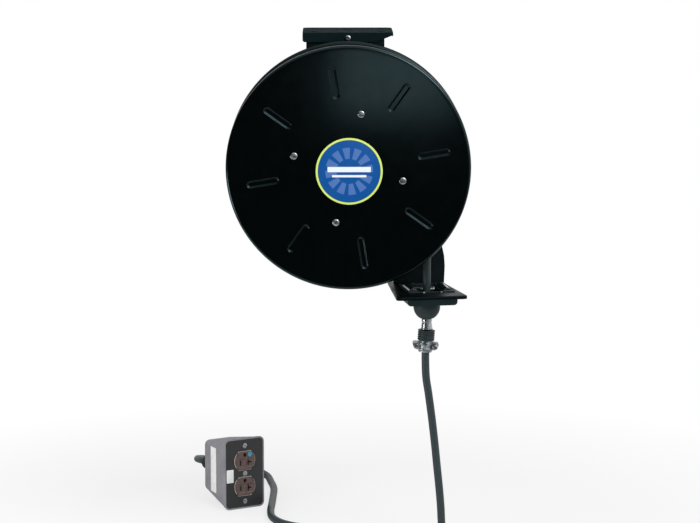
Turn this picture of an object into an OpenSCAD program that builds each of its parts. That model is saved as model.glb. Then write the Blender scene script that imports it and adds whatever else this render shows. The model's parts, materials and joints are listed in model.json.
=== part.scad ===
// Ceiling-mounted spring-return cord reel with a four-roller cord guide,
// a ball stop and a duplex outlet box on the end of its cord.
// Origin: centre of the top face of the ceiling plate. +Z up, the front disc faces -Y.

/* [Ceiling plate] */
// Width of the ceiling plate
plate_w = 124; // [110:1:150]
// Depth of the ceiling plate, front to back
plate_d = 110; // [90:1:140]
// Thickness of the ceiling plate
plate_t = 5; // [4:0.5:8]
// Height of the lip along the plate's front edge
lip_h = 13; // [12:1:20]
// Hole spacing across the plate
mount_x = 92; // [80:1:96]
// Hole spacing front to back
mount_y = 64; // [50:1:66]
// Diameter of the four mounting holes
mount_hole_d = 11; // [8:0.5:13]
// Diameter of the safety-cable hole
safety_hole_d = 13; // [8:0.5:16]

/* [Frame] */
// Depth of the axle below the ceiling plate's top
axle_drop = 176; // [176:1:200]
// Width of the upright channel
channel_w = 107; // [90:1:112]
// Sideways offset of the channel from the axle
channel_off = -3.5; // [-7:0.5:0]
// Depth of the channel's side flanges at the top
flange_d = 46; // [30:1:60]
// Sheet thickness of the channel
channel_t = 5; // [4:0.5:6]
// Distance from the axle down to the channel's foot
channel_foot = 72; // [60:1:90]

/* [Spool] */
// Diameter of the two discs
disc_d = 330; // [320:1:330]
// Width over the two discs
spool_w = 84; // [83:1:100]
// Sheet thickness of the discs
disc_t = 1.6; // [1.2:0.1:2]
// Radius of the rolled rim
rim_r = 4; // [3:0.5:5]
// Gap between the channel and the rear disc
rim_gap = 10; // [10:0.5:16]
// Wall of the hub drum
hub_t = 1.5; // [1:0.1:1.8]
// Number of stamped ribs on a disc
rib_n = 8; // [4:1:12]
// Radius at which a rib starts
rib_in = 95; // [90:1:100]
// Radius at which a rib ends
rib_out = 138; // [120:1:145]
// Width of a rib
rib_w = 8.5; // [6:0.5:12]
// Depth of a rib
rib_depth = 2; // [1:0.1:2.4]
// Diameter of the round label
label_d = 90; // [60:1:110]

/* [Shaft and bearings] */
// Radius of the fixed shaft
shaft_r = 10; // [8:0.5:11]
// Wall of a bearing bush
bush_t = 4; // [3:0.5:5]
// Radius of the wire bore through the shaft
wire_bore_r = 5.5; // [4:0.5:6]
// Thickness of a hub plate
hub_plate_t = 4; // [3:0.5:5]

/* [Spring and ratchet] */
// Width of the main spring's strip
spring_w = 25; // [20:1:27]
// Thickness of the main spring's strip
spring_t = 0.8; // [0.6:0.1:1.2]
// Turns of the main spring
spring_turns = 8; // [5:1:10]
// Outer radius of the spring case
case_r = 67.5; // [60:0.5:68]
// Number of ratchet teeth
teeth = 12; // [12:12:24]
// Tip radius of the ratchet wheel
tooth_r = 40; // [36:0.5:42]
// Height of a ratchet tooth
tooth_h = 6; // [4:0.5:7]

/* [Cord] */
// Diameter of the cord
cord_d = 10.7; // [10:0.1:10.8]
// Distance from the axle to the cord that runs down to the guide
lead_r = 107.5; // [107:0.5:110]
// Turns in the outer layer of the winding
loops = 5.75; // [4.75:0.25:5.75]

/* [Cord guide] */
// Height of the shelf's top face below the ceiling plate's top
shelf_drop = 346; // [344:1:360]
// Thickness of the shelf
shelf_t = 3; // [2.5:0.5:4]
// Turn of the guide about the cord
guide_yaw = 9.3; // [0:0.1:15]
// Radius of a guide roller
roller_r = 6.5; // [5:0.5:6.5]
// Radius of a roller pin
pin_r = 2.2; // [1.8:0.1:2.3]
// Half the distance between the side rollers' pins
side_pin_x = 24; // [23:0.5:24]
// Half the distance between the front and rear rollers' pins
end_pin_y = 29; // [28:0.5:29]
// Height of the roller box
roller_box_h = 14.6; // [13:0.2:18]
// Thickness of the guide arm
arm_t = 5; // [4:0.5:5]

/* [Ball stop and clamp] */
// Radius of the rubber ball
ball_r = 18.5; // [17.5:0.5:20]
// Radius of the ball's seat in the roller box
seat_r = 17; // [13:0.5:17]
// Width of the clamp over its ears
clamp_w = 36; // [32:1:40]
// Height of the clamp
clamp_h = 16; // [12:1:20]
// Lean of the sleeve and clamp
stop_lean = 4; // [0:1:6]

/* [Outlet box] */
// Width of the box at its face
box_w = 66; // [64:1:76]
// Height of the box
box_h = 106; // [104:1:116]
// Depth of the box
box_d = 80; // [60:1:95]
// Width of the box at its back
box_back_w = 50; // [44:1:60]
// Height of the box at its back
box_back_h = 76; // [66:1:100]
// Wall of the box
box_wall = 4; // [3:0.5:5]
// Distance between the two outlets
outlet_pitch = 38.5; // [38.5:0.5:40]
// Diameter of an outlet's face
outlet_d = 34; // [32:0.5:35]
// Distance between the cover's end screws
cover_screw_pitch = 83.3; // [83.3:0.1:86]

/* [Hidden] */
$fn = 64;

// Clearances
fit = 0.05;
gap = 0.3;
sliver = 0.01;

// Axle, stations along it count forwards from the channel's front face
web_y = -plate_d / 2 + plate_t;
axle_z = -axle_drop;
disc_r = disc_d / 2;
cord_r = cord_d / 2;
rear_face = rim_gap;
rear_in = rear_face + disc_t;
front_face = rear_face + spool_w;
front_in = front_face - disc_t;
drum_mid = (rear_in + front_in) / 2;
drum_y = web_y - drum_mid;
bush_r = shaft_r + bush_t;
collar_r = shaft_r + 14;
collar_t = 6;
washer_t = 1.8;
bush_flange_t = 2;
rear_bush_start = collar_t + washer_t + 0.2;
rear_plate_end = rear_in + hub_plate_t;
front_plate_start = front_in - hub_plate_t;
shaft_tail = 24;
frame_screw_r = 2;
nut_t = 9;
clip_t = 1.2;
clip_start = front_in - 3;
bolt_angles = [77, 167, 257, 347];
bolt_r = 2.5;
bolt_head_r = 4.5;
bolt_head_h = 3;
rib_first = 9.5;
label_t = 0.4;
label_shift = [1, -4];

// Spring case, with the spool bolts and the hub drum round it
bolt_circle_r = case_r + 7.5;
hub_r = bolt_circle_r + 5;
case_t = 1.5;
case_start = rear_plate_end;
spring_start = case_start + case_t + 0.9;
case_end = spring_start + spring_w + 0.9;
lid_end = case_end + case_t;
arbor_r = shaft_r + 6;
spring_steps = 24;

// Slip rings
ring_core_in = bush_r + 6;
ring_core_out = ring_core_in + 10;
ring_t = 2;
ring_w = 4;
ring_pitch = 7.5;
ring_core_start = lid_end + 5;
brush_l = 6;
brush_in = ring_core_out + ring_t + gap;
block_start = lid_end + 1;
block_t = 3;

// Ratchet and pawl
ratchet_t = 3.6;
ratchet_start = rear_face - ratchet_t;
pawl_t = 3.2;
pawl_start = ratchet_start + 0.1;
pawl_pin_r = 4;
pawl_hub_r = 8;
pawl_pin_at = 50 * [cos(150), sin(150)];
pawl_tip_a = 100;

// Winding
loop_rings = 24;
layer_r = lead_r - cord_d - gap;
core_r = layer_r * cos(180 / loop_rings) - cord_r - 0.25;
wind_start = rear_in + rib_depth + cord_r + gap;
wind_end = front_in - rib_depth - cord_r - gap;
wind_pitch = (wind_end - wind_start) / loops;

// Guide
shelf_top = -shelf_drop;
shelf_bot = shelf_top - shelf_t;
box_bot = shelf_bot - roller_box_h;
side_roller_z = shelf_top - 2;
end_roller_z = side_roller_z - 2 * pin_r - 0.6;
side_roller_l = 2 * (end_pin_y - pin_r) - 2.6;
end_roller_l = 2 * (side_pin_x - roller_r) - 2;
pit_x = side_pin_x + roller_r + 0.5;
pit_y = end_pin_y + roller_r + 0.5;
body_x = pit_x + 3.5;
body_y = pit_y + 4;
neck_x = pit_x + 0.2;
neck_y = pit_y + 0.2;
roller_rise = 1.6;
arm_y = web_y - arm_t;
arm_foot_d = 30;
foot_bolts = [91, 121];
foot_bolt_y = web_y + 12;
arm_bolts_at = [[9, -60], [36, -46]];
arm_bolt_r = 4;

// Ball stop, hung below the roller box
seat_drop = sqrt(ball_r * ball_r - (seat_r - 0.2) * (seat_r - 0.2));
ball_z = box_bot - seat_drop;
ball_flat = 15.9;
ferrule_h = 15.2;
ferrule_r = [6.7, 8.2];
sleeve_h = 15.6;
sleeve_slack = 0.9;
sleeve_r = 11.7;
ferrule_top = ball_z - ball_flat;
sleeve_top = ferrule_top - ferrule_h;
clamp_top = sleeve_top - sleeve_h;
clamp_d = 20;
clamp_ear_x = clamp_w / 2 - 5;
clamp_split = 1.6;
clamp_screw_r = 2;

// Free cord, from the clamp down to the floor and round behind the outlet box
floor_z = -710;
free_route = [
  [106, -101.9, -436], [106, -101.9, -448], [107, -102, -470], [110.5, -102.2, -493],
  [115, -102.5, -526], [119, -102.7, -560], [122.5, -103, -594], [126, -103.2, -628],
  [128, -103.3, -652], [129.2, -99.4, -673], [130.9, -88.5, -690], [132, -71.5, -701],
  [130.8, -51.4, -704.6], [121.6, -31.8, -704.6], [103.4, -18.6, -704.6], [77.6, -13.9, -704.6],
  [45.4, -15.8, -704.6], [5, -21.2, -704.6], [-33.1, -20.8, -704.6], [-66.4, -9.6, -704.6],
  [-93, 13.2, -704.6], [-107.9, 46.2, -704.6], [-111.4, 84.5, -704.6], [-110.5, 129.6, -704.6],
  [-109.6, 174.6, -704.6], [-109.5, 222.7, -704.6], [-114.5, 263.1, -704], [-123.1, 296.7, -701],
  [-149.7, 318.8, -694.5], [-184.3, 321, -686], [-213.6, 302.6, -677], [-226.3, 270.3, -669],
  [-218.7, 238.5, -664], [-211.7, 226.4, -663]
];
route_step = 2;
cord_sides = 10;

// Outlet box, turned about its face centre; local +Z is its face's normal, local +Y up
box_turn = 30.3;
box_at = [-150.1, 121.1, floor_z + box_h / 2];
box_corner = 8;
cover_t = 2.4;
cover_inset = 2.8;
strap_in = 1.6;
outlet_proud = 1.2;
boss_h = 14;
box_screw_r = 1.7;
gland_l = 42;
gland_r = [13, 8.4];
gland_z = -6;

// -- Places ---------------------------------------------------------------

// Puts local +Z forwards along the axle, local +Y up, at station s
module on_axle(s = 0) {
  translate([0, web_y - s, axle_z]) rotate([90, 0, 0]) children();
}

// Turned frame of the cord guide, its origin on the cord at height 0
module at_guide() {
  translate([lead_r, drum_y, 0]) rotate([0, 0, guide_yaw]) children();
}

// Leaning frame of the sleeve and the clamp
module at_stop() {
  translate([lead_r, drum_y, sleeve_top]) rotate([0, stop_lean, 0]) translate([0, 0, -sleeve_top]) children();
}

// Frame of the outlet box: local x across, y up, z out of its face
module at_box() {
  translate(box_at) rotate([0, 0, box_turn]) rotate([90, 0, 0]) children();
}

// -- Shared shapes --------------------------------------------------------

module ring(r_out, r_in, h) {
  difference() {
    cylinder(r = r_out, h = h);
    translate([0, 0, -1]) cylinder(r = r_in, h = h + 2);
  }
}

module hexagon(across, h) {
  cylinder(r = across / 2 / cos(30), h = h, $fn = 6);
}

module rounded(w, h, r) {
  square([w - 2 * r, h], center = true);
  square([w, h - 2 * r], center = true);
  for (x = [-1, 1], y = [-1, 1]) translate([x * (w / 2 - r), y * (h / 2 - r)]) circle(r, $fn = 32);
}

// Slot with round ends from x = a to x = b
module slot(a, b, w) {
  translate([a + w / 2, -w / 2]) square([b - a - w, w]);
  for (x = [a + w / 2, b - w / 2]) translate([x, 0]) circle(w / 2, $fn = 32);
}

// Hole for a bolt whose head is on z = 0, through a stack of thickness t
module bolt_through(r, t) translate([0, 0, -t - 1]) cylinder(r = r, h = t + 2);

// Screw with a domed head on z = 0 and its shank below
module pan_screw(r, head_r, head_h, l) {
  cylinder(r = head_r, h = head_h * 0.6);
  translate([0, 0, head_h * 0.6]) cylinder(r1 = head_r, r2 = head_r * 0.7, h = head_h * 0.4);
  translate([0, 0, -l]) cylinder(r = r, h = l + sliver);
}

// Hexagon bolt with its head on z = 0, and its nut on z = -grip
module hex_bolt(r, head_h, grip) {
  hexagon(r * 3.2, head_h);
  translate([0, 0, -grip - head_h - 2]) cylinder(r = r, h = grip + head_h + 2 + sliver);
  translate([0, 0, -grip - head_h]) hexagon(r * 3.2, head_h);
}

function unit(v) = v / norm(v);

// Any direction square to t, for the start of a swept tube
function square_to(t) = unit(cross(t, abs(t.z) < 0.9 ? [0, 0, 1] : [1, 0, 0]));

// Directions along a path, and side vectors carried along it without twist
function headings(path) = [
  for (i = [0:len(path) - 1]) unit(path[min(i + 1, len(path) - 1)] - path[max(i - 1, 0)])
];
function sides_of(t) = [
  for (i = 0, v = square_to(t[0]);
       i < len(t);
       i = i + 1, v = i < len(t) ? unit(v - t[i] * (v * t[i])) : v) v
];

// Unbroken tube of radius r along a path, with flat ends
module tube(path, r, sides) {
  n = len(path);
  t = headings(path);
  u = sides_of(t);
  points = [
    for (i = [0:n - 1], k = [0:sides - 1])
      path[i] + r * (cos(360 * k / sides) * u[i] + sin(360 * k / sides) * cross(t[i], u[i]))
  ];
  walls = [
    for (i = [0:n - 2], k = [0:sides - 1], half = [0, 1])
      let (a = i * sides + k, b = i * sides + (k + 1) % sides)
        half == 0 ? [a, a + sides, b + sides] : [a, b + sides, b]
  ];
  ends = [
    for (k = [1:sides - 2], half = [0, 1])
      let (e = (n - 1) * sides)
        half == 0 ? [0, k, k + 1] : [e, e + k + 1, e + k]
  ];
  polyhedron(points, concat(walls, ends));
}

// Smooth curve through hand-placed points, steps pieces to each span
function bent(p, i, f) =
  let (a = p[max(i - 1, 0)], b = p[i], c = p[i + 1], d = p[min(i + 2, len(p) - 1)])
    0.5 * (2 * b + (c - a) * f + (2 * a - 5 * b + 4 * c - d) * f * f + (3 * b - a - 3 * c + d) * f * f * f);
function smooth(p, steps) = concat(
  [for (i = [0:len(p) - 2], k = [0:steps - 1]) bent(p, i, k / steps)],
  [p[len(p) - 1]]
);

// -- Frame ----------------------------------------------------------------

module ceiling_plate() color([0.13, 0.15, 0.16]) {
  difference() {
    translate([0, 0, -plate_t]) linear_extrude(plate_t) rounded(plate_w, plate_d, 9);
    for (x = [-1, 1], y = [-1, 1])
      translate([x * mount_x / 2, y * mount_y / 2, -plate_t - 1]) cylinder(d = mount_hole_d, h = plate_t + 2);
    translate([0, mount_y / 4, -plate_t - 1]) cylinder(d = safety_hole_d, h = plate_t + 2);
    translate([-plate_w / 2 - 1, -plate_d / 2 - 1, -plate_t - 1]) cube([plate_w + 2, plate_t + 1, plate_t + 2]);
  }
  difference() {
    translate([0, web_y, 0]) rotate([90, 0, 0]) linear_extrude(plate_t) polygon([
      [-plate_w / 2 + 2, 0], [plate_w / 2 - 2, 0], [plate_w / 2, -2], [plate_w / 2, -3.5],
      [plate_w / 2 - 24, -lip_h], [-plate_w / 2 + 2, -lip_h], [-plate_w / 2, -lip_h + 2],
      [-plate_w / 2, -2]
    ]);
    at_frame_screw() bolt_through(frame_screw_r, plate_t + channel_t);
  }
}

// Place of the screw that joins the lip to the channel's web, its head on the lip
module at_frame_screw() {
  translate([0, -plate_d / 2, -plate_t - 2.5]) rotate([90, 0, 0]) children();
}

module frame_channel() color([0.1, 0.11, 0.12]) translate([channel_off, 0, 0]) {
  difference() {
    translate([0, web_y + channel_t, 0]) rotate([90, 0, 0]) linear_extrude(channel_t) {
      translate([-channel_w / 2, axle_z]) square([channel_w, axle_drop - plate_t]);
      translate([-channel_off, axle_z]) intersection() {
        circle(channel_foot);
        translate([-channel_w / 2 + channel_off, -channel_foot]) square([channel_w, 2 * channel_foot]);
      }
    }
    translate([-channel_off, web_y + channel_t + 1, axle_z]) rotate([90, 0, 0]) cylinder(r = shaft_r, h = channel_t + 2);
    translate([-channel_off, 0, 0]) {
      at_frame_screw() bolt_through(frame_screw_r, plate_t + channel_t);
      translate([pawl_pin_at.x, web_y + channel_t + 1, axle_z + pawl_pin_at.y]) rotate([90, 0, 0])
        cylinder(r = pawl_pin_r, h = channel_t + 2);
      for (p = arm_bolts_at) translate([p.x, web_y + channel_t + 1, axle_z + p.y]) rotate([90, 0, 0])
        cylinder(r = arm_bolt_r, h = channel_t + 2);
    }
  }
  for (x = [-channel_w / 2, channel_w / 2 - channel_t])
    translate([x, web_y + channel_t, 0]) rotate([90, 0, 90]) linear_extrude(channel_t) polygon([
      [0, -plate_t], [flange_d, -plate_t], [flange_d, -plate_t - 24], [12, axle_z + 20],
      [12, axle_z - 28], [0, axle_z - 36]
    ]);
}

module frame_screw() color([0.75, 0.76, 0.78])
  at_frame_screw() pan_screw(frame_screw_r, 3.8, 2.6, plate_t + channel_t + 3);

// -- Shaft ----------------------------------------------------------------

module main_shaft() color([0.62, 0.63, 0.65]) on_axle() difference() {
  union() {
    translate([0, 0, -shaft_tail]) cylinder(r = shaft_r, h = shaft_tail + clip_start + clip_t + 1);
    cylinder(r = collar_r, h = collar_t);
  }
  translate([0, 0, -shaft_tail - 1]) cylinder(r = wire_bore_r, h = shaft_tail + block_start + block_t);
  translate([0, 0, block_start]) rotate([0, 90, 0]) cylinder(r = 2.5, h = shaft_r + 1);
  translate([0, 0, clip_start]) ring(shaft_r + 1, shaft_r - 1.2, clip_t);
}

module shaft_nut() color([0.75, 0.76, 0.78]) on_axle(-channel_t - nut_t) difference() {
  hexagon(30, nut_t);
  translate([0, 0, -1]) cylinder(r = shaft_r, h = nut_t + 2);
}

module thrust_washer() color([0.82, 0.68, 0.4]) on_axle(collar_t) ring(bush_r + 3, shaft_r + fit, washer_t);

module shaft_clip() color([0.3, 0.31, 0.33]) on_axle(clip_start) difference() {
  ring(shaft_r + 2.6, shaft_r - 1.2, clip_t);
  translate([0, -2.5, -1]) cube([20, 5, clip_t + 2]);
}

// Cable gland on the shaft's rear end
module inlet_gland() color([0.12, 0.12, 0.13]) on_axle(-shaft_tail - 22) difference() {
  union() {
    translate([0, 0, 14]) hexagon(26, 8);
    translate([0, 0, 3]) cylinder(r = 12, h = 11.5);
    cylinder(r1 = 8.5, r2 = 12, h = 3.01);
    translate([0, 0, 22 - sliver]) ring(shaft_r + 3, shaft_r, 8);
  }
  translate([0, 0, -1]) cylinder(r = wire_bore_r, h = 24);
}

// -- Spool ----------------------------------------------------------------

module rib_places() {
  for (i = [0:rib_n - 1]) rotate(rib_first + i * 360 / rib_n) children();
}

// Stamped disc: its winding face on z = 0, its rim curled back over the winding
module stamped_disc(bore) {
  difference() {
    union() {
      cylinder(r = disc_r - rim_r, h = disc_t);
      rotate_extrude($fn = 128) translate([disc_r - rim_r, disc_t - rim_r]) circle(rim_r, $fn = 24);
      rib_places() translate([0, 0, -rib_depth]) linear_extrude(rib_depth + sliver) slot(rib_in, rib_out, rib_w);
    }
    rib_places() translate([0, 0, disc_t - rib_depth]) linear_extrude(rib_depth + 1)
      slot(rib_in + disc_t, rib_out - disc_t, rib_w - 2 * disc_t);
    for (a = bolt_angles) rotate(a) translate([bolt_circle_r, 0, -1]) cylinder(r = bolt_r, h = disc_t + 2);
    if (bore > 0) translate([0, 0, -1]) cylinder(r = bore, h = disc_t + 2);
  }
}

module front_disc() color([0.1, 0.115, 0.125]) on_axle(front_in) stamped_disc(0);

module rear_disc() color([0.09, 0.1, 0.11]) on_axle(rear_in) rotate([180, 0, 0]) mirror([0, 1, 0]) stamped_disc(bush_r);

module hub_drum() color([0.2, 0.21, 0.22]) on_axle(rear_in) ring(hub_r, hub_r - hub_t, front_in - rear_in);

module hub_plate() difference() {
  ring(case_r + 4, bush_r, hub_plate_t);
  for (i = [0:5]) rotate(30 + 60 * i) translate([(case_r + ring_core_out) / 2, 0, -1]) cylinder(r = 6, h = hub_plate_t + 2);
}

module front_hub_plate() color([0.5, 0.51, 0.53]) on_axle(front_plate_start) hub_plate();

module rear_hub_plate() color([0.5, 0.51, 0.53]) on_axle(rear_in) hub_plate();

module front_bearing() color([0.72, 0.55, 0.3]) on_axle(front_plate_start - 8) {
  ring(bush_r, shaft_r + fit, clip_start - gap - front_plate_start + 8);
  translate([0, 0, 8 - bush_flange_t]) ring(bush_r + 3, bush_r - sliver, bush_flange_t);
}

module rear_bearing() color([0.72, 0.55, 0.3]) on_axle(rear_bush_start) {
  ring(bush_r, shaft_r + fit, rear_plate_end - rear_bush_start);
  ring(bush_r + 3, bush_r - sliver, bush_flange_t);
}

module spool_bolts() color([0.82, 0.83, 0.84])
  for (a = bolt_angles) on_axle(front_face) rotate(a) translate([bolt_circle_r, 0, 0]) difference() {
    pan_screw(bolt_r, bolt_head_r, bolt_head_h, front_face - rear_face + 4.6);
    for (q = [0, 90]) rotate(q + a * 1.3) translate([-3, -0.6, bolt_head_h - 1.4]) cube([6, 1.2, 2]);
  }

module spool_nuts() color([0.75, 0.76, 0.78])
  for (a = bolt_angles) on_axle(rear_face - 4) rotate(a) translate([bolt_circle_r, 0, 0]) difference() {
    hexagon(8, 4);
    translate([0, 0, -1]) cylinder(r = bolt_r, h = 6);
  }

module hub_label() color([0.1, 0.3, 0.62])
  on_axle(front_face) translate([label_shift.x, label_shift.y, 0]) cylinder(d = label_d, h = label_t);

// -- Spring motor ---------------------------------------------------------

module spring_case() color([0.35, 0.36, 0.38]) on_axle(case_start) {
  ring(case_r, bush_r + 1, case_t);
  ring(case_r, case_r - case_t, case_end - case_start);
}

module spring_lid() color([0.4, 0.41, 0.43]) on_axle(case_end) ring(case_r, arbor_r + 0.6, case_t);

// Flat strip wound from the arbor out to the case
module main_spring() color([0.3, 0.33, 0.4]) on_axle(spring_start) {
  r_in = arbor_r + 0.5;
  r_out = case_r - case_t - spring_t - 0.2;
  n = spring_turns * spring_steps;
  r = [for (i = [0:n]) r_in + (r_out - r_in) * i / n];
  a = [for (i = [0:n]) 360 * i / spring_steps];
  linear_extrude(spring_w) polygon(concat(
    [for (i = [0:n]) r[i] * [cos(a[i]), sin(a[i])]],
    [for (i = [n:-1:0]) (r[i] + spring_t) * [cos(a[i]), sin(a[i])]]
  ));
}

module spring_arbor() color([0.55, 0.56, 0.58]) on_axle(spring_start) difference() {
  ring(arbor_r, shaft_r, spring_w);
  translate([arbor_r - 2, -0.7, -1]) cube([4, 1.4, spring_w + 2]);
}

// -- Slip rings -----------------------------------------------------------

module ring_places() {
  for (i = [0:2]) translate([0, 0, front_plate_start - 4 - ring_w - i * ring_pitch]) children();
}

module slip_ring_core() color([0.15, 0.15, 0.15])
  on_axle(ring_core_start) ring(ring_core_out, ring_core_in, front_plate_start - ring_core_start);

module slip_rings() color([0.85, 0.65, 0.3])
  on_axle() ring_places() ring(ring_core_out + ring_t, ring_core_out, ring_w);

module brush_block() color([0.45, 0.12, 0.1]) on_axle() {
  translate([0, 0, block_start]) ring(bush_r + 3, shaft_r, block_t);
  difference() {
    translate([0, -9, block_start]) cube([brush_in + brush_l + 8, 18, block_t]);
    translate([0, 0, block_start - 1]) cylinder(r = bush_r + 1, h = block_t + 2);
  }
  translate([brush_in + brush_l, -9, block_start + block_t - sliver])
    cube([8, 18, front_plate_start - block_start - block_t - 2]);
}

module brushes() color([0.1, 0.1, 0.1])
  on_axle() ring_places() difference() {
    translate([ring_core_out, -4, 0.2]) cube([brush_l + brush_in - ring_core_out, 8, ring_w - 0.4]);
    translate([0, 0, -1]) cylinder(r = brush_in, h = ring_w + 2);
  }

// -- Ratchet --------------------------------------------------------------

module ratchet_wheel() color([0.55, 0.56, 0.58]) on_axle(ratchet_start) difference() {
  step = 360 / teeth;
  linear_extrude(ratchet_t) polygon([
    for (i = [0:teeth - 1], k = [0:2])
      let (a = pawl_tip_a + i * step + [0, 2, step][k], r = [tooth_r - tooth_h, tooth_r, tooth_r - tooth_h][k])
        r * [cos(a), sin(a)]
  ]);
  translate([0, 0, -1]) cylinder(r = bush_r + 4, h = ratchet_t + 2);
}

// Outline of the pawl: its hub, its arm and the tip that drops into a tooth gap
module pawl() color([0.6, 0.61, 0.63]) on_axle(pawl_start) difference() {
  nose = [
    for (p = [[7, 3], [4, -3], [1 - tooth_h, -4], [1 - tooth_h, -1], [1, 0.6], [1.8, 12], [3, 25]])
      (tooth_r + p.x) * [cos(pawl_tip_a + p.y), sin(pawl_tip_a + p.y)]
  ];
  union() {
    translate(pawl_pin_at) cylinder(r = pawl_hub_r, h = pawl_t);
    linear_extrude(pawl_t) polygon([
      pawl_pin_at + pawl_hub_r * [cos(100), sin(100)], each nose,
      pawl_pin_at + pawl_hub_r * [cos(-40), sin(-40)]
    ]);
    linear_extrude(pawl_t) polygon([
      pawl_pin_at + pawl_hub_r * [cos(120), sin(120)], pawl_pin_at + [-16, 6],
      pawl_pin_at + [-16, 0], pawl_pin_at + pawl_hub_r * [cos(220), sin(220)]
    ]);
  }
  translate([pawl_pin_at.x, pawl_pin_at.y, -1]) cylinder(r = pawl_pin_r + fit, h = pawl_t + 2);
}

module pawl_pin() color([0.7, 0.71, 0.73]) on_axle() translate(pawl_pin_at) {
  translate([0, 0, -channel_t - 4]) cylinder(r = pawl_pin_r, h = channel_t + 4 + rear_face - 0.2);
  translate([0, 0, -channel_t - 3]) ring(pawl_pin_r + 3, pawl_pin_r - sliver, 3);
  cylinder(r = pawl_pin_r + 2, h = 2);
}

// Torsion spring round the pin, with one leg to the pawl's tail
module pawl_spring() color([0.5, 0.51, 0.52]) on_axle() translate(pawl_pin_at) {
  for (i = [0:2]) translate([0, 0, 2.8 + i * 1.3])
    rotate_extrude($fn = 32) translate([pawl_pin_r + 1.1, 0]) circle(0.6, $fn = 16);
  for (i = [0:1]) translate([-0.5, pawl_pin_r + 0.6, 2.8 + i * 1.3]) cube([1, 1, 1.3]);
  translate([-14.6, -2.5, 4.5]) cube([10, 1.2, 1.2]);
  translate([-14.6, -2.5, 4.5]) cube([1.2, 1.2, pawl_start + pawl_t - 5]);
}

// -- Wound cord -----------------------------------------------------------

module wound_cord_core() color([0.16, 0.18, 0.18])
  on_axle(rear_in + rib_depth + gap) ring(core_r, hub_r, front_in - rear_in - 2 * (rib_depth + gap));

function helix(r, a, s) = [r * cos(a), r * sin(a), s];
wind_rings = loops * loop_rings;
wound_path = let (
  body = [for (i = [0:wind_rings]) helix(layer_r, 360 * i / loop_rings, wind_start + wind_pitch * i / loop_rings)],
  a_end = 360 * loops
) concat(
  [body[0] - cord_d * [0, 1, 0]],
  body,
  [body[wind_rings] + cord_d * [-sin(a_end), cos(a_end), 0]]
);

// Least gap between one turn of the winding and the next, measured on its points
function least(v, i = 0, m = 1e9) = i == len(v) ? m : least(v, i + 1, min(m, v[i]));
wound_gap = least([
  for (i = [0:len(wound_path) - 1], j = [i + loop_rings / 2:1:len(wound_path) - 1])
    norm(wound_path[i] - wound_path[j]) - cord_d
]);
echo(wound_gap = wound_gap);

module wound_cord() color([0.2, 0.23, 0.24]) on_axle() tube(wound_path, cord_r, 6);

// The turn that leaves the winding, runs down through the guide and ends in the clamp
lead_turn = 210;
lead_route = concat(
  [for (a = [lead_turn:-15:15]) let (s = drum_mid - (drum_mid - wind_start - 3) * (a - 15) / (lead_turn - 15))
    [lead_r * cos(a), web_y - s, axle_z + lead_r * sin(a)]],
  [for (z = [0, 30, 60, 90, 120, 150, 180]) [lead_r, drum_y, axle_z - z]],
  [[lead_r, drum_y, ferrule_top], [lead_r, drum_y, sleeve_top],
   [lead_r - 0.5, drum_y, sleeve_top - 8], free_route[0] + [0, 0, 6], free_route[0]]
);

module lead_cord() color([0.2, 0.23, 0.24]) tube(lead_route, cord_r, cord_sides);

// -- Guide ----------------------------------------------------------------

module guide_arm() color([0.07, 0.08, 0.09]) {
  difference() {
    translate([0, web_y, 0]) rotate([90, 0, 0]) linear_extrude(arm_t) {
      polygon([
        [-12, axle_z - 60], [6, axle_z - 42], [37, axle_z - 28], [61, axle_z - 46],
        [125, axle_z - 104], [130, axle_z - 118], [133, axle_z - 132], [134, axle_z - 146],
        [133, shelf_top], [63, shelf_top], [63, axle_z - 118], [4, axle_z - 76], [-10, axle_z - 70]
      ]);
    }
    for (p = arm_bolts_at) translate([p.x, web_y + 1, axle_z + p.y]) rotate([90, 0, 0])
      cylinder(r = arm_bolt_r, h = arm_t + 2);
  }
  difference() {
    translate([79, arm_y, shelf_top]) cube([54, arm_foot_d, arm_t]);
    for (x = foot_bolts) translate([x, foot_bolt_y, shelf_top - 1]) cylinder(r = 3, h = arm_t + 2);
  }
}

module arm_bolts() color([0.3, 0.31, 0.32])
  for (p = arm_bolts_at) on_axle(arm_t) translate([p.x, p.y, 0]) {
    cylinder(r1 = 8, r2 = 6, h = 3.4);
    translate([0, 0, -arm_t - channel_t - 9]) cylinder(r = arm_bolt_r, h = arm_t + channel_t + 9 + sliver);
    translate([0, 0, -arm_t - channel_t - 6.5]) hexagon(13, 6.5);
  }

// Outline of the shelf in the guide's turned frame, wider at the front
shelf_outline = [
  [-52, -70], [40, -70], [43, -67], [33.3, 48], [30.6, 74], [28, 76], [-38, 76], [-41, 73], [-55, -67]
];

module guide_shelf() color([0.12, 0.13, 0.14]) difference() {
  at_guide() difference() {
    translate([0, 0, shelf_bot]) linear_extrude(shelf_t) polygon(shelf_outline);
    translate([0, 0, shelf_bot - 1]) linear_extrude(shelf_t + 2) rounded(2 * neck_x + 0.4, 2 * neck_y + 0.4, 2);
    screw_places() translate([0, 0, shelf_bot - 1]) cylinder(r = 1.2, h = shelf_t + 2);
  }
  for (x = foot_bolts) translate([x, foot_bolt_y, shelf_bot - 1]) cylinder(r = 3, h = shelf_t + 2);
}

module shelf_bolts() color([0.75, 0.76, 0.78])
  for (x = foot_bolts) translate([x, foot_bolt_y, shelf_top + arm_t]) hex_bolt(3, 4, arm_t + shelf_t);

module screw_places() {
  for (x = [-12, 12], y = [-1, 1]) translate([x, y * (neck_y + 2.25), 0]) children();
}

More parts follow.
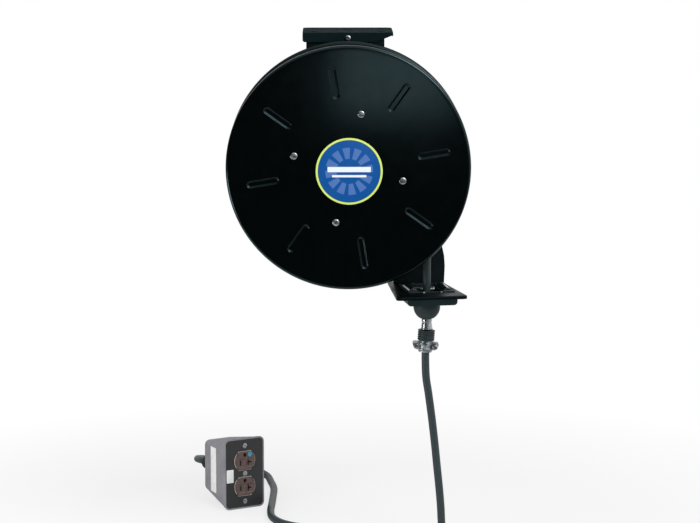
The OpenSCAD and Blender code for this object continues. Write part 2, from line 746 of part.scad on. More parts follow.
module pin_bores(r) {
  for (x = [-1, 1]) translate([x * side_pin_x, neck_y, side_roller_z]) rotate([90, 0, 0])
    cylinder(r = r, h = 2 * neck_y);
  for (y = [-1, 1]) translate([-body_x + 1, y * end_pin_y, end_roller_z]) rotate([0, 90, 0])
    cylinder(r = r, h = 2 * body_x - 2);
}

// Cast box under the shelf that carries the rollers and seats the ball
module roller_box() color([0.13, 0.15, 0.16]) at_guide() difference() {
  union() {
    translate([0, body_y, box_bot + roller_box_h / 2]) rotate([90, 0, 0]) linear_extrude(2 * body_y) {
      rounded(2 * body_x, roller_box_h, 5);
      translate([-body_x, 0]) square([2 * body_x, roller_box_h / 2]);
    }
    translate([0, 0, shelf_bot - sliver]) linear_extrude(shelf_t + roller_rise + sliver)
      square([2 * neck_x, 2 * neck_y], center = true);
  }
  translate([-pit_x, -side_roller_l / 2 - 0.5, box_bot + 3]) cube([2 * pit_x, side_roller_l + 1, 40]);
  translate([-end_roller_l / 2 - 0.5, -pit_y, box_bot + 3]) cube([end_roller_l + 1, 2 * pit_y, 40]);
  translate([0, 0, box_bot - 1]) cylinder(r = seat_r, h = 5);
  pin_bores(pin_r);
  screw_places() translate([0, 0, shelf_bot - 8]) cylinder(r = 1.2, h = 9);
}

module roller_box_screws() color([0.75, 0.76, 0.78])
  at_guide() screw_places() translate([0, 0, shelf_top]) pan_screw(1.2, 1.95, 1.6, 9);

module roller_pins() color([0.75, 0.76, 0.78]) at_guide() pin_bores(pin_r);

// Roller along local z, centred, crowned at its ends
module roller(l) difference() {
  union() {
    translate([0, 0, -l / 2 + 1]) cylinder(r = roller_r, h = l - 2);
    translate([0, 0, -l / 2]) cylinder(r1 = roller_r - 1, r2 = roller_r, h = 1);
    translate([0, 0, l / 2 - 1]) cylinder(r1 = roller_r, r2 = roller_r - 1, h = 1);
  }
  translate([0, 0, -l / 2 - 1]) cylinder(r = pin_r + fit, h = l + 2);
}

module side_roller(x) color([0.16, 0.17, 0.18]) at_guide()
  translate([x * side_pin_x, 0, side_roller_z]) rotate([90, 0, 0]) roller(side_roller_l);
module end_roller(y) color([0.16, 0.17, 0.18]) at_guide()
  translate([0, y * end_pin_y, end_roller_z]) rotate([0, 90, 0]) roller(end_roller_l);
module left_roller() side_roller(-1);
module right_roller() side_roller(1);
module front_roller() end_roller(-1);
module rear_roller() end_roller(1);

// -- Ball stop and clamp --------------------------------------------------

module ball_stop() color([0.2, 0.23, 0.24]) translate([lead_r, drum_y, ball_z]) difference() {
  sphere(ball_r);
  translate([-ball_r - 1, -ball_r - 1, -ball_r - ball_flat]) cube([2 * ball_r + 2, 2 * ball_r + 2, ball_r]);
  translate([0, 0, -ball_r - 1]) cylinder(r = cord_r + fit, h = 2 * ball_r + 2);
}

module stop_ferrule() color([0.75, 0.76, 0.78]) translate([lead_r, drum_y, sleeve_top]) difference() {
  union() {
    cylinder(r1 = ferrule_r[1], r2 = ferrule_r[0] + 0.4, h = ferrule_h * 0.55);
    translate([0, 0, ferrule_h * 0.55 - sliver]) cylinder(r = ferrule_r[0], h = ferrule_h * 0.45 + sliver);
  }
  translate([0, 0, -1]) cylinder(r = cord_r + fit, h = ferrule_h + 2);
  translate([-10, -10, ferrule_h * 0.6]) cube([20, 10 - cord_r, 1.4]);
}

module stop_sleeve() color([0.1, 0.1, 0.11]) at_stop() translate([0, 0, clamp_top]) difference() {
  union() {
    cylinder(r = sleeve_r - 1, h = sleeve_h - sleeve_slack);
    for (i = [0:4]) translate([0, 0, 0.6 + i * 3]) cylinder(r = sleeve_r, h = 1.8);
  }
  translate([0, 0, -1]) cylinder(r = cord_r + 1, h = sleeve_h + 2);
}

// Half of the two-ear clamp, its split on y = 0
module clamp_half() difference() {
  union() {
    cylinder(r = clamp_d / 2, h = clamp_h);
    translate([-clamp_w / 2, -5.5, 2]) cube([clamp_w, 11, clamp_h - 4]);
  }
  translate([0, 0, -1]) cylinder(r = cord_r + 1, h = clamp_h + 2);
  translate([-30, -clamp_split / 2, -1]) cube([60, 40, clamp_h + 2]);
  for (x = [-1, 1]) translate([x * clamp_ear_x, 10, clamp_h / 2]) rotate([90, 0, 0]) cylinder(r = clamp_screw_r, h = 30);
}

module at_clamp() {
  at_stop() translate([0, 0, clamp_top - clamp_h]) children();
}

module front_clamp() color([0.72, 0.73, 0.74]) at_clamp() clamp_half();
module rear_clamp() color([0.72, 0.73, 0.74]) at_clamp() rotate([0, 0, 180]) clamp_half();

module clamp_screws() color([0.8, 0.81, 0.82])
  at_clamp() for (x = [-1, 1]) translate([x * clamp_ear_x, -5.5, clamp_h / 2]) rotate([90, 0, 0]) {
    pan_screw(clamp_screw_r, 3.8, 2.6, 14.5);
    translate([0, 0, -14]) hexagon(6.4, 3);
  }

// -- Free cord and outlet box ---------------------------------------------

module free_cord() color([0.2, 0.23, 0.24]) tube(smooth(free_route, route_step), cord_r, cord_sides);

// Tapered strain relief on the box's back
module box_gland() color([0.1, 0.1, 0.11]) at_box() translate([0, gland_z, -box_d - gland_l]) difference() {
  union() {
    cylinder(r1 = gland_r[1], r2 = gland_r[0], h = gland_l);
    for (i = [0:4]) translate([0, 0, 5 + i * 7]) cylinder(r = gland_r[1] + 1.4 + i * 0.75, h = 2.6);
  }
  translate([0, 0, -1]) cylinder(r = cord_r + fit, h = gland_l + 2);
}

module box_shell(inset, front, back) hull() {
  translate([0, 0, front - 1]) linear_extrude(1) offset(r = -inset) rounded(box_w, box_h, box_corner);
  translate([0, 0, back]) linear_extrude(1) offset(r = -inset) rounded(box_back_w, box_back_h, box_corner);
}

module box_body() color([0.2, 0.21, 0.22]) at_box() difference() {
  union() {
    difference() {
      box_shell(0, 0, -box_d);
      box_shell(box_wall, 1, -box_d + box_wall);
    }
    for (m = [0, 1]) mirror([0, m, 0])
      translate([-6, cover_screw_pitch / 2 - 5, -cover_t - strap_in - boss_h])
        cube([12, box_h / 2 - cover_screw_pitch / 2 + 0.5, boss_h]);
  }
  for (y = [-1, 1]) translate([0, y * cover_screw_pitch / 2, -20]) cylinder(r = box_screw_r, h = 20);
  translate([0, 0, -cover_t]) linear_extrude(cover_t + 1) rounded(box_w - 2 * cover_inset, box_h - 2 * cover_inset, 5);
  translate([-outlet_d / 2 - 5, -31, -cover_t - strap_in]) cube([outlet_d + 10, 62, 5]);
  translate([0, gland_z, -box_d - 1]) cylinder(r = cord_r + 1, h = box_wall + 2);
}

module outlet_places() {
  for (y = [-1, 1]) translate([0, y * outlet_pitch / 2, 0]) children();
}

// Face of one outlet: a circle with flats above and below
module outlet_face(d, h) linear_extrude(h) intersection() {
  circle(d = d);
  square([d + 1, d * 0.83], center = true);
}

module screw_line() {
  for (y = [-1, 0, 1]) translate([0, y * cover_screw_pitch / 2, 0]) children();
}

module box_cover() color([0.07, 0.07, 0.08]) at_box() translate([0, 0, -cover_t]) difference() {
  linear_extrude(cover_t) rounded(box_w - 2 * cover_inset - 0.4, box_h - 2 * cover_inset - 0.4, 5);
  outlet_places() translate([0, 0, -1]) outlet_face(outlet_d + 0.6, cover_t + 2);
  screw_line() translate([0, 0, -1]) cylinder(r = 1.8, h = cover_t + 2);
}

// Slots of one outlet: a straight one, a T and a round-bottomed one above them
module outlet_slots() {
  translate([-7.4, -7, 0]) square([1.8, 7.5]);
  translate([5, -7.5, 0]) square([2, 8.5]);
  translate([5, -3.8, 0]) square([6.6, 2]);
  translate([0, 8.2]) circle(2.6, $fn = 32);
  translate([-2.6, 8.2]) square([5.2, 2.8]);
}

// Two outlet faces on one moulding, with their slots
module receptacle() color([0.3, 0.16, 0.1]) at_box() difference() {
  union() {
    outlet_places() translate([0, 0, -cover_t - 3]) outlet_face(outlet_d, cover_t + 3 + outlet_proud);
    translate([0, 0, -cover_t - 26]) linear_extrude(26 - strap_in) rounded(outlet_d - 1, 70, 4);
  }
  outlet_places() translate([0, 0, -cover_t - 18]) linear_extrude(24) outlet_slots();
  translate([0, 0, -cover_t - 9]) cylinder(r = box_screw_r, h = 40);
}

// Steel yoke behind the receptacle, screwed to the box
module receptacle_strap() color([0.7, 0.71, 0.72]) at_box() difference() {
  translate([0, 0, -cover_t - strap_in]) linear_extrude(strap_in) union() {
    square([18, cover_screw_pitch + 9], center = true);
    square([outlet_d + 9, 60], center = true);
  }
  outlet_places() translate([0, 0, -cover_t - 2]) outlet_face(outlet_d + 0.2, 4);
  screw_line() translate([0, 0, -cover_t - 2]) cylinder(r = 1.8, h = 4);
}

// Brass contacts at the bottom of the slots
module outlet_contacts() color([0.85, 0.65, 0.3]) at_box() outlet_places() translate([0, 0, -cover_t - 18])
  linear_extrude(6) offset(delta = -0.2) outlet_slots();

module box_screws() color([0.8, 0.81, 0.82]) at_box() screw_line() pan_screw(box_screw_r, 3.6, 1.6, cover_t + 8);

// Blank stickers: a round one and a square one on the face, a tall one on the side
module box_tags() color([0.85, 0.87, 0.9]) at_box() {
  translate([8.6, outlet_pitch / 2 + 9, outlet_proud]) cylinder(r = 3.6, h = 0.25);
  translate([-box_w / 2 + cover_inset + 0.8, -12, 0]) cube([11.5, 19.5, 0.2]);
  translate([-box_w / 2, 0, 0]) rotate([0, -atan((box_w - box_back_w) / 2 / box_d), 0])
    translate([-0.45, -34, -55]) cube([0.3, 68, 21]);
}

ceiling_plate();
frame_channel();
frame_screw();
main_shaft();
shaft_nut();
thrust_washer();
shaft_clip();
inlet_gland();
front_disc();
rear_disc();
hub_drum();
front_hub_plate();
rear_hub_plate();
front_bearing();
rear_bearing();
spool_bolts();
spool_nuts();
hub_label();
spring_case();
spring_lid();
main_spring();
spring_arbor();
slip_ring_core();
slip_rings();
brush_block();
brushes();
ratchet_wheel();
pawl();
pawl_pin();
pawl_spring();
wound_cord_core();
wound_cord();
lead_cord();
guide_arm();
arm_bolts();
guide_shelf();
shelf_bolts();
roller_box();
roller_box_screws();
roller_pins();
left_roller();
right_roller();
front_roller();
rear_roller();
ball_stop();
stop_ferrule();
stop_sleeve();
front_clamp();
rear_clamp();
clamp_screws();
free_cord();
box_gland();
box_body();
box_cover();
receptacle();
receptacle_strap();
outlet_contacts();
box_screws();
box_tags();
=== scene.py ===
"""Looks of a ceiling-mounted cord reel: its discs, wound and hanging cord, roller guide and outlet box.

Everything is in metres in the part's own frame: origin on top of the ceiling plate, +Z up and the front disc
towards -Y.
"""

import json
import math

import bmesh
import bpy
import numpy as np
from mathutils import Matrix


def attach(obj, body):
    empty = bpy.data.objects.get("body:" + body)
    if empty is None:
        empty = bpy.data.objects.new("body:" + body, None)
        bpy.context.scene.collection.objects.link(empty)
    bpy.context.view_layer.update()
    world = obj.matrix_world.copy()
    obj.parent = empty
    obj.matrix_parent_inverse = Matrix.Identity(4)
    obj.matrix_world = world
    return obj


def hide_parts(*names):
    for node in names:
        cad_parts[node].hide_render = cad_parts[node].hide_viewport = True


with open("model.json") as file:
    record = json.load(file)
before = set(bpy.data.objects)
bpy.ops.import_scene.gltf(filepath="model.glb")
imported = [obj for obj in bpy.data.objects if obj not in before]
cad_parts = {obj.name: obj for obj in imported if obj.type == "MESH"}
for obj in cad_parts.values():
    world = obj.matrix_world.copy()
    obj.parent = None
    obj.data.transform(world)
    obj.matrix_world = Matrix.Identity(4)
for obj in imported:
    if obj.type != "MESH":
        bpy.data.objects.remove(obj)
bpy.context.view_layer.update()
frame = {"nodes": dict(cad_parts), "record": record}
NODES = frame["nodes"]

# -- Main sizes, as in the part's source ----------------------------------

MM = 0.001
FIT = 0.05 * MM
GAP = 0.3 * MM
WEB_Y = -50 * MM
AXLE_Z = -176 * MM
DISC_R = 165 * MM
SHEET_T = 1.6 * MM
RIM_R = 4 * MM
RIB_DEPTH = 2 * MM
REAR_FACE = 10 * MM
REAR_IN = 11.6 * MM
FRONT_IN = 92.4 * MM
FRONT_FACE = 94 * MM
DRUM_MID = 52 * MM
DRUM_Y = WEB_Y - DRUM_MID
CORD_D = 10.7 * MM
CORD_R = CORD_D / 2
LEAD_R = 107.5 * MM
LAYER_R = LEAD_R - CORD_D - GAP
CORE_R = LAYER_R * math.cos(math.pi / 24) - CORD_R - 0.25 * MM
HUB_R = 80 * MM
BOLT_CIRCLE = 75 * MM
LABEL_R = 45 * MM
LABEL_SHIFT = np.array([1, -4]) * MM
WIND_START = REAR_IN + RIB_DEPTH + CORD_R + GAP
WIND_END = FRONT_IN - RIB_DEPTH - CORD_R - GAP
LOOPS = 5.75
GUIDE_YAW = math.radians(9.3)
SHELF_TOP = -346 * MM
SHELF_T = 3 * MM
ROLLER_R = 6.5 * MM
SIDE_PIN_X = 24 * MM
END_PIN_Y = 29 * MM
SIDE_ROLLER_Z = SHELF_TOP - 2 * MM
END_ROLLER_Z = SIDE_ROLLER_Z - 5 * MM
BOX_BOT = SHELF_TOP - SHELF_T - 14.6 * MM
BALL_R = 18.5 * MM
BALL_SEAT = 16.8 * MM
BALL_Z = BOX_BOT - math.sqrt(BALL_R ** 2 - BALL_SEAT ** 2)
BALL_FLAT = 15.9 * MM
FERRULE_TOP = BALL_Z - BALL_FLAT
SLEEVE_TOP = FERRULE_TOP - 15.2 * MM
CLAMP_TOP = SLEEVE_TOP - 15.6 * MM
CLAMP_H = 16 * MM
STOP_LEAN = math.radians(4)
FLOOR_Z = -710 * MM
BOX_W, BOX_H, BOX_D = 66 * MM, 106 * MM, 80 * MM
BOX_BACK_W, BOX_BACK_H = 50 * MM, 76 * MM
BOX_AT = np.array([-150.1, 121.1, -657]) * MM
BOX_TURN = math.radians(30.3)
OUTLET_R, OUTLET_FLAT, PROUD = 17 * MM, 14.11 * MM, 1.2 * MM
OUTLET_PITCH = 38.5 * MM
COVER_SCREW_PITCH = 83.3 * MM

FREE_ROUTE = np.array([
    (106, -101.9, -436), (106, -101.9, -448), (107, -102, -470), (110.5, -102.2, -493),
    (115, -102.5, -526), (119, -102.7, -560), (122.5, -103, -594), (126, -103.2, -628),
    (128, -103.3, -652), (129.2, -99.4, -673), (130.9, -88.5, -690), (132, -71.5, -701),
    (130.8, -51.4, -704.6), (121.6, -31.8, -704.6), (103.4, -18.6, -704.6), (77.6, -13.9, -704.6),
    (45.4, -15.8, -704.6), (5, -21.2, -704.6), (-33.1, -20.8, -704.6), (-66.4, -9.6, -704.6),
    (-93, 13.2, -704.6), (-107.9, 46.2, -704.6), (-111.4, 84.5, -704.6), (-110.5, 129.6, -704.6),
    (-109.6, 174.6, -704.6), (-109.5, 222.7, -704.6), (-114.5, 263.1, -704), (-123.1, 296.7, -701),
    (-149.7, 318.8, -694.5), (-184.3, 321, -686), (-213.6, 302.6, -677), (-226.3, 270.3, -669),
    (-218.7, 238.5, -664), (-211.7, 226.4, -663),
]) * MM


# -- Places ---------------------------------------------------------------

def on_axle(p):
    """Points given as right, up and station along the axle, carried to the part's frame."""
    p = np.asarray(p, float)
    return np.stack([p[..., 0], WEB_Y - p[..., 2], AXLE_Z + p[..., 1]], axis=-1)


def at_guide(p):
    """Points turned by the guide's yaw about the cord, then moved onto it."""
    c, s = math.cos(GUIDE_YAW), math.sin(GUIDE_YAW)
    x, y, z = p[..., 0], p[..., 1], p[..., 2]
    return np.stack([LEAD_R + c * x - s * y, DRUM_Y + s * x + c * y, z], axis=-1)


def at_stop(p):
    """Points leaned about the top of the sleeve, given about the cord's line."""
    c, s = math.cos(STOP_LEAN), math.sin(STOP_LEAN)
    x, y, z = p[..., 0], p[..., 1], p[..., 2] - SLEEVE_TOP
    return np.stack([LEAD_R + c * x + s * z, DRUM_Y + y, SLEEVE_TOP - s * x + c * z], axis=-1)


def on_cord(p):
    """Points given about the cord's line below the guide."""
    return p + np.array([LEAD_R, DRUM_Y, 0])


def at_box(p):
    """Points given across, up and out of the outlet box's face."""
    c, s = math.cos(BOX_TURN), math.sin(BOX_TURN)
    x, y, z = p[..., 0], -p[..., 2], p[..., 1]
    return np.stack([c * x - s * y, s * x + c * y, z], axis=-1) + BOX_AT


# -- Camera ----------------------------------------------------------------

def place_camera():
    """A long lens 3.6 m off, a little above the spool, that shows the axle's middle at a set pixel."""
    wide, high, far, scale = 700, 523, 3.6, 1.357 * MM
    turn, rise = math.radians(-0.5), math.radians(8.7)
    aim, pixel = np.array([0, DRUM_Y, AXLE_Z]), (348.2, 164.8)
    right = np.array([math.cos(turn), math.sin(turn), 0])
    ahead = np.array([-math.sin(turn) * math.cos(rise), math.cos(turn) * math.cos(rise), -math.sin(rise)])
    up = np.cross(right, ahead)
    at = aim - ahead * far - right * (pixel[0] - wide / 2) * scale + up * (pixel[1] - high / 2) * scale
    data = bpy.data.cameras.new("camera")
    data.sensor_width = 36
    data.lens = far / scale / wide * data.sensor_width
    data.clip_end = 60
    cam = bpy.data.objects.new("camera", data)
    cam.location = at
    cam.rotation_euler = (math.pi / 2 - rise, 0, turn)
    bpy.context.scene.collection.objects.link(cam)
    bpy.context.scene.camera = cam


# -- Surfaces from arrays --------------------------------------------------

def piece(name, verts, faces, body, material, nodes, angle=38, uv=None):
    """One finished mesh from whole arrays: doubles merged, normals outward, smooth up to a set edge angle."""
    mesh = bpy.data.meshes.new(name)
    mesh.from_pydata(np.asarray(verts, float).reshape(-1, 3).tolist(), [], np.asarray(faces).tolist())
    if uv is not None:
        layer = mesh.uv_layers.new(name="along")
        corner = np.empty(len(mesh.loops), dtype=np.int64)
        mesh.loops.foreach_get("vertex_index", corner)
        layer.data.foreach_set("uv", np.asarray(uv, float).reshape(-1, 2)[corner].ravel())
    bm = bmesh.new()
    bm.from_mesh(mesh)
    bmesh.ops.remove_doubles(bm, verts=bm.verts, dist=2e-6)
    bmesh.ops.dissolve_degenerate(bm, edges=bm.edges, dist=1e-6)
    bmesh.ops.recalc_face_normals(bm, faces=bm.faces)
    bm.to_mesh(mesh)
    bm.free()
    mesh.polygons.foreach_set("use_smooth", np.ones(len(mesh.polygons), dtype=bool))
    mesh.set_sharp_from_angle(angle=math.radians(angle))
    mesh.materials.append(material)
    obj = bpy.data.objects.new(name, mesh)
    bpy.context.scene.collection.objects.link(obj)
    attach(obj, body)
    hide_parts(*nodes)
    return obj


def grid_faces(rows, cols, close_rows=False, close_cols=False):
    """Quads between neighbouring rows and columns of a grid of points."""
    r = np.arange(rows if close_rows else rows - 1)[:, None]
    c = np.arange(cols if close_cols else cols - 1)[None, :]
    r1, c1 = (r + 1) % rows, (c + 1) % cols
    corners = np.broadcast_arrays(r * cols + c, r * cols + c1, r1 * cols + c1, r1 * cols + c)
    return np.stack(corners, -1).reshape(-1, 4)


def joined(parts):
    """Several grids of points, each with its quads, as one set of points and quads."""
    starts = np.cumsum([0] + [points.size // 3 for points, _ in parts])
    verts = np.concatenate([points.reshape(-1, 3) for points, _ in parts])
    return verts, np.concatenate([quads + start for (_, quads), start in zip(parts, starts)])


def closed_ends(rings, first, last):
    """A grid of rings with a ring shrunk to one point added at each end."""
    one = (1, rings.shape[1], 3)
    return np.concatenate([np.broadcast_to(first, one), rings, np.broadcast_to(last, one)])


def turned(profile, steps, loop=True):
    """Points and quads of a profile of radius and height carried round the local z axis."""
    profile = np.asarray(profile, float)
    a = np.linspace(0, 2 * np.pi, steps, endpoint=False)
    r, h = profile[:, 0][:, None], profile[:, 1][:, None]
    pts = np.stack([r * np.cos(a), r * np.sin(a), h + 0 * a], axis=-1)
    return pts, grid_faces(len(profile), steps, close_rows=loop, close_cols=True)


def rounded_profile(corners, radius, steps=5):
    """A closed outline whose corners are replaced by arcs, each no longer than 45% of its sides."""
    corners = np.asarray(corners, float)
    radius = np.broadcast_to(radius, len(corners))
    out = []
    for i, c in enumerate(corners):
        a, b = corners[i - 1] - c, corners[(i + 1) % len(corners)] - c
        la, lb = np.linalg.norm(a), np.linalg.norm(b)
        cut = min(radius[i], 0.45 * la, 0.45 * lb)
        if cut <= 1e-6:
            out.append(c[None])
            continue
        p, q = c + a / la * cut, c + b / lb * cut
        t = np.linspace(0, 1, steps + 1)[:, None]
        out.append((1 - t) ** 2 * p + 2 * t * (1 - t) * c + t ** 2 * q)
    return np.concatenate(out)


def smooth_route(p, steps):
    """Catmull-Rom curve through given points, steps pieces to a span."""
    p = np.asarray(p, float)
    q = np.concatenate([p[:1], p, p[-1:]])
    a, b, c, d = q[:-3], q[1:-2], q[2:-1], q[3:]
    f = (np.arange(steps) / steps)[None, :, None]
    a, b, c, d = (v[:, None, :] for v in (a, b, c, d))
    square, cube = 2 * a - 5 * b + 4 * c - d, 3 * b - a - 3 * c + d
    curve = 0.5 * (2 * b + (c - a) * f + square * f ** 2 + cube * f ** 3)
    return np.concatenate([curve.reshape(-1, 3), p[-1:]])


def tube(name, path, radius, body, material, nodes, sides=24):
    """A round tube along a path: rings square to it, carried without twist, with closed flat ends.
    Its UV map holds metres along the path and the turn round it."""
    path = np.asarray(path, float)
    ahead = np.gradient(path, axis=0)
    ahead /= np.linalg.norm(ahead, axis=1)[:, None]
    side = np.empty_like(path)
    v = np.cross(ahead[0], [0, 0, 1] if abs(ahead[0][2]) < 0.9 else [1, 0, 0])
    for i, t in enumerate(ahead):
        v = v - t * (v @ t)
        v /= np.linalg.norm(v)
        side[i] = v
    over = np.cross(ahead, side)
    a = np.linspace(0, 2 * np.pi, sides + 1)[None, :, None]
    rings = path[:, None] + radius * (np.cos(a) * side[:, None] + np.sin(a) * over[:, None])
    rings = closed_ends(rings, path[0], path[-1])
    along = np.concatenate([[0], np.cumsum(np.linalg.norm(np.diff(path, axis=0), axis=1))])
    uv = np.stack(np.broadcast_arrays(along[:, None], np.linspace(0, 1, sides + 1)[None, :]), axis=-1)
    uv = np.concatenate([uv[:1], uv, uv[-1:]])
    return piece(name, rings, grid_faces(len(rings), sides + 1), body, material, nodes, angle=60, uv=uv)


# -- Materials --------------------------------------------------------------

def add_node(tree, kind, inputs=None, **settings):
    """A new node with its settings made and each input linked to a socket or given a value."""
    n = tree.nodes.new(kind)
    for key, value in settings.items():
        setattr(n, key, value)
    for key, value in (inputs or {}).items():
        if isinstance(value, bpy.types.NodeSocket):
            tree.links.new(value, n.inputs[key])
        else:
            n.inputs[key].default_value = value
    return n


class Finish:
    """A procedural material on one Principled shader, built from Object coordinates or the piece's own UV
    map."""

    def __init__(self, name, colour, roughness, metallic=0.0, specular=0.5):
        self.material = bpy.data.materials.new(name)
        self.material.use_nodes = True
        self.tree = self.material.node_tree
        self.shader = self.tree.nodes["Principled BSDF"]
        uniform = {"Base Color": (*colour, 1), "Roughness": roughness, "Metallic": metallic,
                   "Specular IOR Level": specular}
        for key, value in uniform.items():
            self.shader.inputs[key].default_value = value
        self.place = self.node("ShaderNodeTexCoord").outputs["Object"]
        self.bump = None

    def node(self, kind, inputs=None, **settings):
        return add_node(self.tree, kind, inputs, **settings)

    def mapped(self, scale, place=None):
        inputs = {"Vector": place or self.place, "Scale": scale}
        return self.node("ShaderNodeMapping", inputs).outputs["Vector"]

    def noise(self, scale, detail=3.0, place=None, stretch=None):
        place = self.mapped(stretch, place) if stretch else (place or self.place)
        return self.node("ShaderNodeTexNoise", {"Vector": place, "Scale": scale, "Detail": detail,
                                                "Roughness": 0.55}).outputs["Fac"]

    def ramp(self, fac, low, high, out_low=0.0, out_high=1.0):
        return self.node("ShaderNodeMapRange", {"Value": fac, "From Min": low, "From Max": high,
                                                "To Min": out_low, "To Max": out_high}).outputs["Result"]

    def math(self, op, a, b=0.0, clamp=False):
        return self.node("ShaderNodeMath", {0: a, 1: b}, operation=op, use_clamp=clamp).outputs[0]

    def mix(self, fac, a, b):
        a, b = (c if isinstance(c, bpy.types.NodeSocket) else (*c, 1) for c in (a, b))
        return self.node("ShaderNodeMix", {0: fac, 6: a, 7: b}, data_type="RGBA").outputs[2]

    def paint_with(self, colour):
        self.tree.links.new(colour, self.shader.inputs["Base Color"])

    def rough_with(self, value):
        self.tree.links.new(value, self.shader.inputs["Roughness"])

    def bump_with(self, height, distance, strength):
        inputs = {"Height": height, "Distance": distance, "Strength": strength}
        if self.bump is not None:
            inputs["Normal"] = self.bump
        self.bump = self.node("ShaderNodeBump", inputs).outputs["Normal"]
        self.tree.links.new(self.bump, self.shader.inputs["Normal"])


def tint(colour, by):
    """A colour made lighter or darker by a factor."""
    return tuple(min(1.0, c * by) for c in colour)


def enamel(name, colour, roughness, specular, peel=1.0, drift=1.0):
    """Baked black enamel on pressed steel: faint orange peel, soft roughness drift and a film of dust."""
    f = Finish(name, colour, roughness, specular=specular)
    f.shader.inputs["Specular Tint"].default_value = (0.55, 0.92, 1, 1)
    dust = f.ramp(f.noise(14, 5), 0.35, 0.8)
    f.paint_with(f.mix(dust, tint(colour, 0.85), tint(colour, 1.25)))
    f.rough_with(f.ramp(f.noise(60, 4), 0.3, 0.7, roughness - 0.05 * drift, roughness + 0.09 * drift))
    f.bump_with(f.noise(420, 2), 0.0001 * peel, 0.35)
    f.bump_with(f.noise(2600, 1), 0.00003 * peel, 0.3)
    return f.material


def zinc(name, colour, roughness):
    """Bright zinc plate: cloudy blue-white film, fine rolling lines and small dull spots."""
    f = Finish(name, colour, roughness, metallic=1.0)
    cloud = f.ramp(f.noise(90, 4), 0.3, 0.75)
    f.paint_with(f.mix(cloud, tint(colour, 0.82), tint(colour, 1.12)))
    f.rough_with(f.ramp(f.noise(300, 3), 0.3, 0.7, roughness - 0.08, roughness + 0.14))
    f.bump_with(f.noise(500, 3, stretch=(1, 1, 6)), 0.00006, 0.3)
    return f.material


def bare_metal(name, colour, roughness=0.35):
    """Machined or rolled metal: stretched grain and a slight stain."""
    grain = (1, 1, 8)
    f = Finish(name, colour, roughness, metallic=1.0)
    f.paint_with(f.mix(f.ramp(f.noise(35, 5), 0.35, 0.7), tint(colour, 0.75), tint(colour, 1.1)))
    f.rough_with(f.ramp(f.noise(220, 3, stretch=grain), 0.3, 0.7, roughness - 0.08, roughness + 0.12))
    f.bump_with(f.noise(700, 2, stretch=grain), 0.00006, 0.35)
    return f.material


def cast_metal(name, colour, roughness):
    """Tumbled die casting: soft pits and a satin, slightly mottled skin."""
    f = Finish(name, colour, roughness, metallic=1.0)
    f.paint_with(f.mix(f.ramp(f.noise(220, 5), 0.38, 0.62), tint(colour, 0.4), tint(colour, 1.35)))
    f.rough_with(f.ramp(f.noise(200, 3), 0.3, 0.7, roughness - 0.1, roughness + 0.12))
    f.bump_with(f.noise(450, 4), 0.0005, 0.7)
    return f.material


def rubber(name, colour, roughness=0.62):
    """Moulded rubber: fine grain, cloudy bloom and scuffed roughness."""
    f = Finish(name, colour, roughness, specular=0.35)
    bloom = f.ramp(f.noise(38, 5), 0.35, 0.75)
    speck = f.ramp(f.noise(900, 2), 0.62, 0.72)
    base = f.mix(bloom, tint(colour, 0.86), tint(colour, 1.16))
    f.paint_with(f.mix(f.math("MULTIPLY", speck, 0.25), base, tint(colour, 1.8)))
    f.rough_with(f.ramp(f.noise(150, 4), 0.3, 0.7, roughness - 0.08, roughness + 0.12))
    f.bump_with(f.noise(1300, 3), 0.00012, 0.4)
    return f.material


def cord_jacket(name, colour):
    """Extruded cord jacket on the tube's UV map: lengthwise die lines, chalky scuffs and fine grain."""
    f = Finish(name, colour, 0.55, specular=0.4)
    along = f.node("ShaderNodeUVMap", uv_map="along").outputs["UV"]
    lines = f.noise(1.0, 2, place=along, stretch=(18, 46, 1))
    scuff = f.ramp(f.noise(1.0, 5, place=along, stretch=(120, 5, 1)), 0.52, 0.78)
    base = f.mix(f.ramp(lines, 0.3, 0.7), tint(colour, 0.88), tint(colour, 1.12))
    f.paint_with(f.mix(f.math("MULTIPLY", scuff, 0.5), base, tint(colour, 1.5)))
    f.rough_with(f.ramp(scuff, 0, 1, 0.46, 0.7))
    f.bump_with(lines, 0.00018, 0.5)
    f.bump_with(f.noise(1500, 2), 0.00008, 0.4)
    return f.material


def plastic(name, colour, roughness=0.42, specular=0.45):
    """Moulded plastic: fine spark-eroded grain and a little drift in gloss."""
    f = Finish(name, colour, roughness, specular=specular)
    f.paint_with(f.mix(f.ramp(f.noise(60, 4), 0.3, 0.7), tint(colour, 0.88), tint(colour, 1.14)))
    f.rough_with(f.ramp(f.noise(180, 3), 0.3, 0.7, roughness - 0.07, roughness + 0.1))
    f.bump_with(f.noise(1800, 2), 0.00005, 0.4)
    return f.material


def sticker(name, colour):
    """Blank paper-faced sticker: faint fibres and soft handling marks."""
    f = Finish(name, colour, 0.5)
    f.paint_with(f.mix(f.ramp(f.noise(160, 5), 0.45, 0.8), colour, tint(colour, 0.86)))
    f.bump_with(f.noise(2200, 3), 0.00003, 0.4)
    return f.material


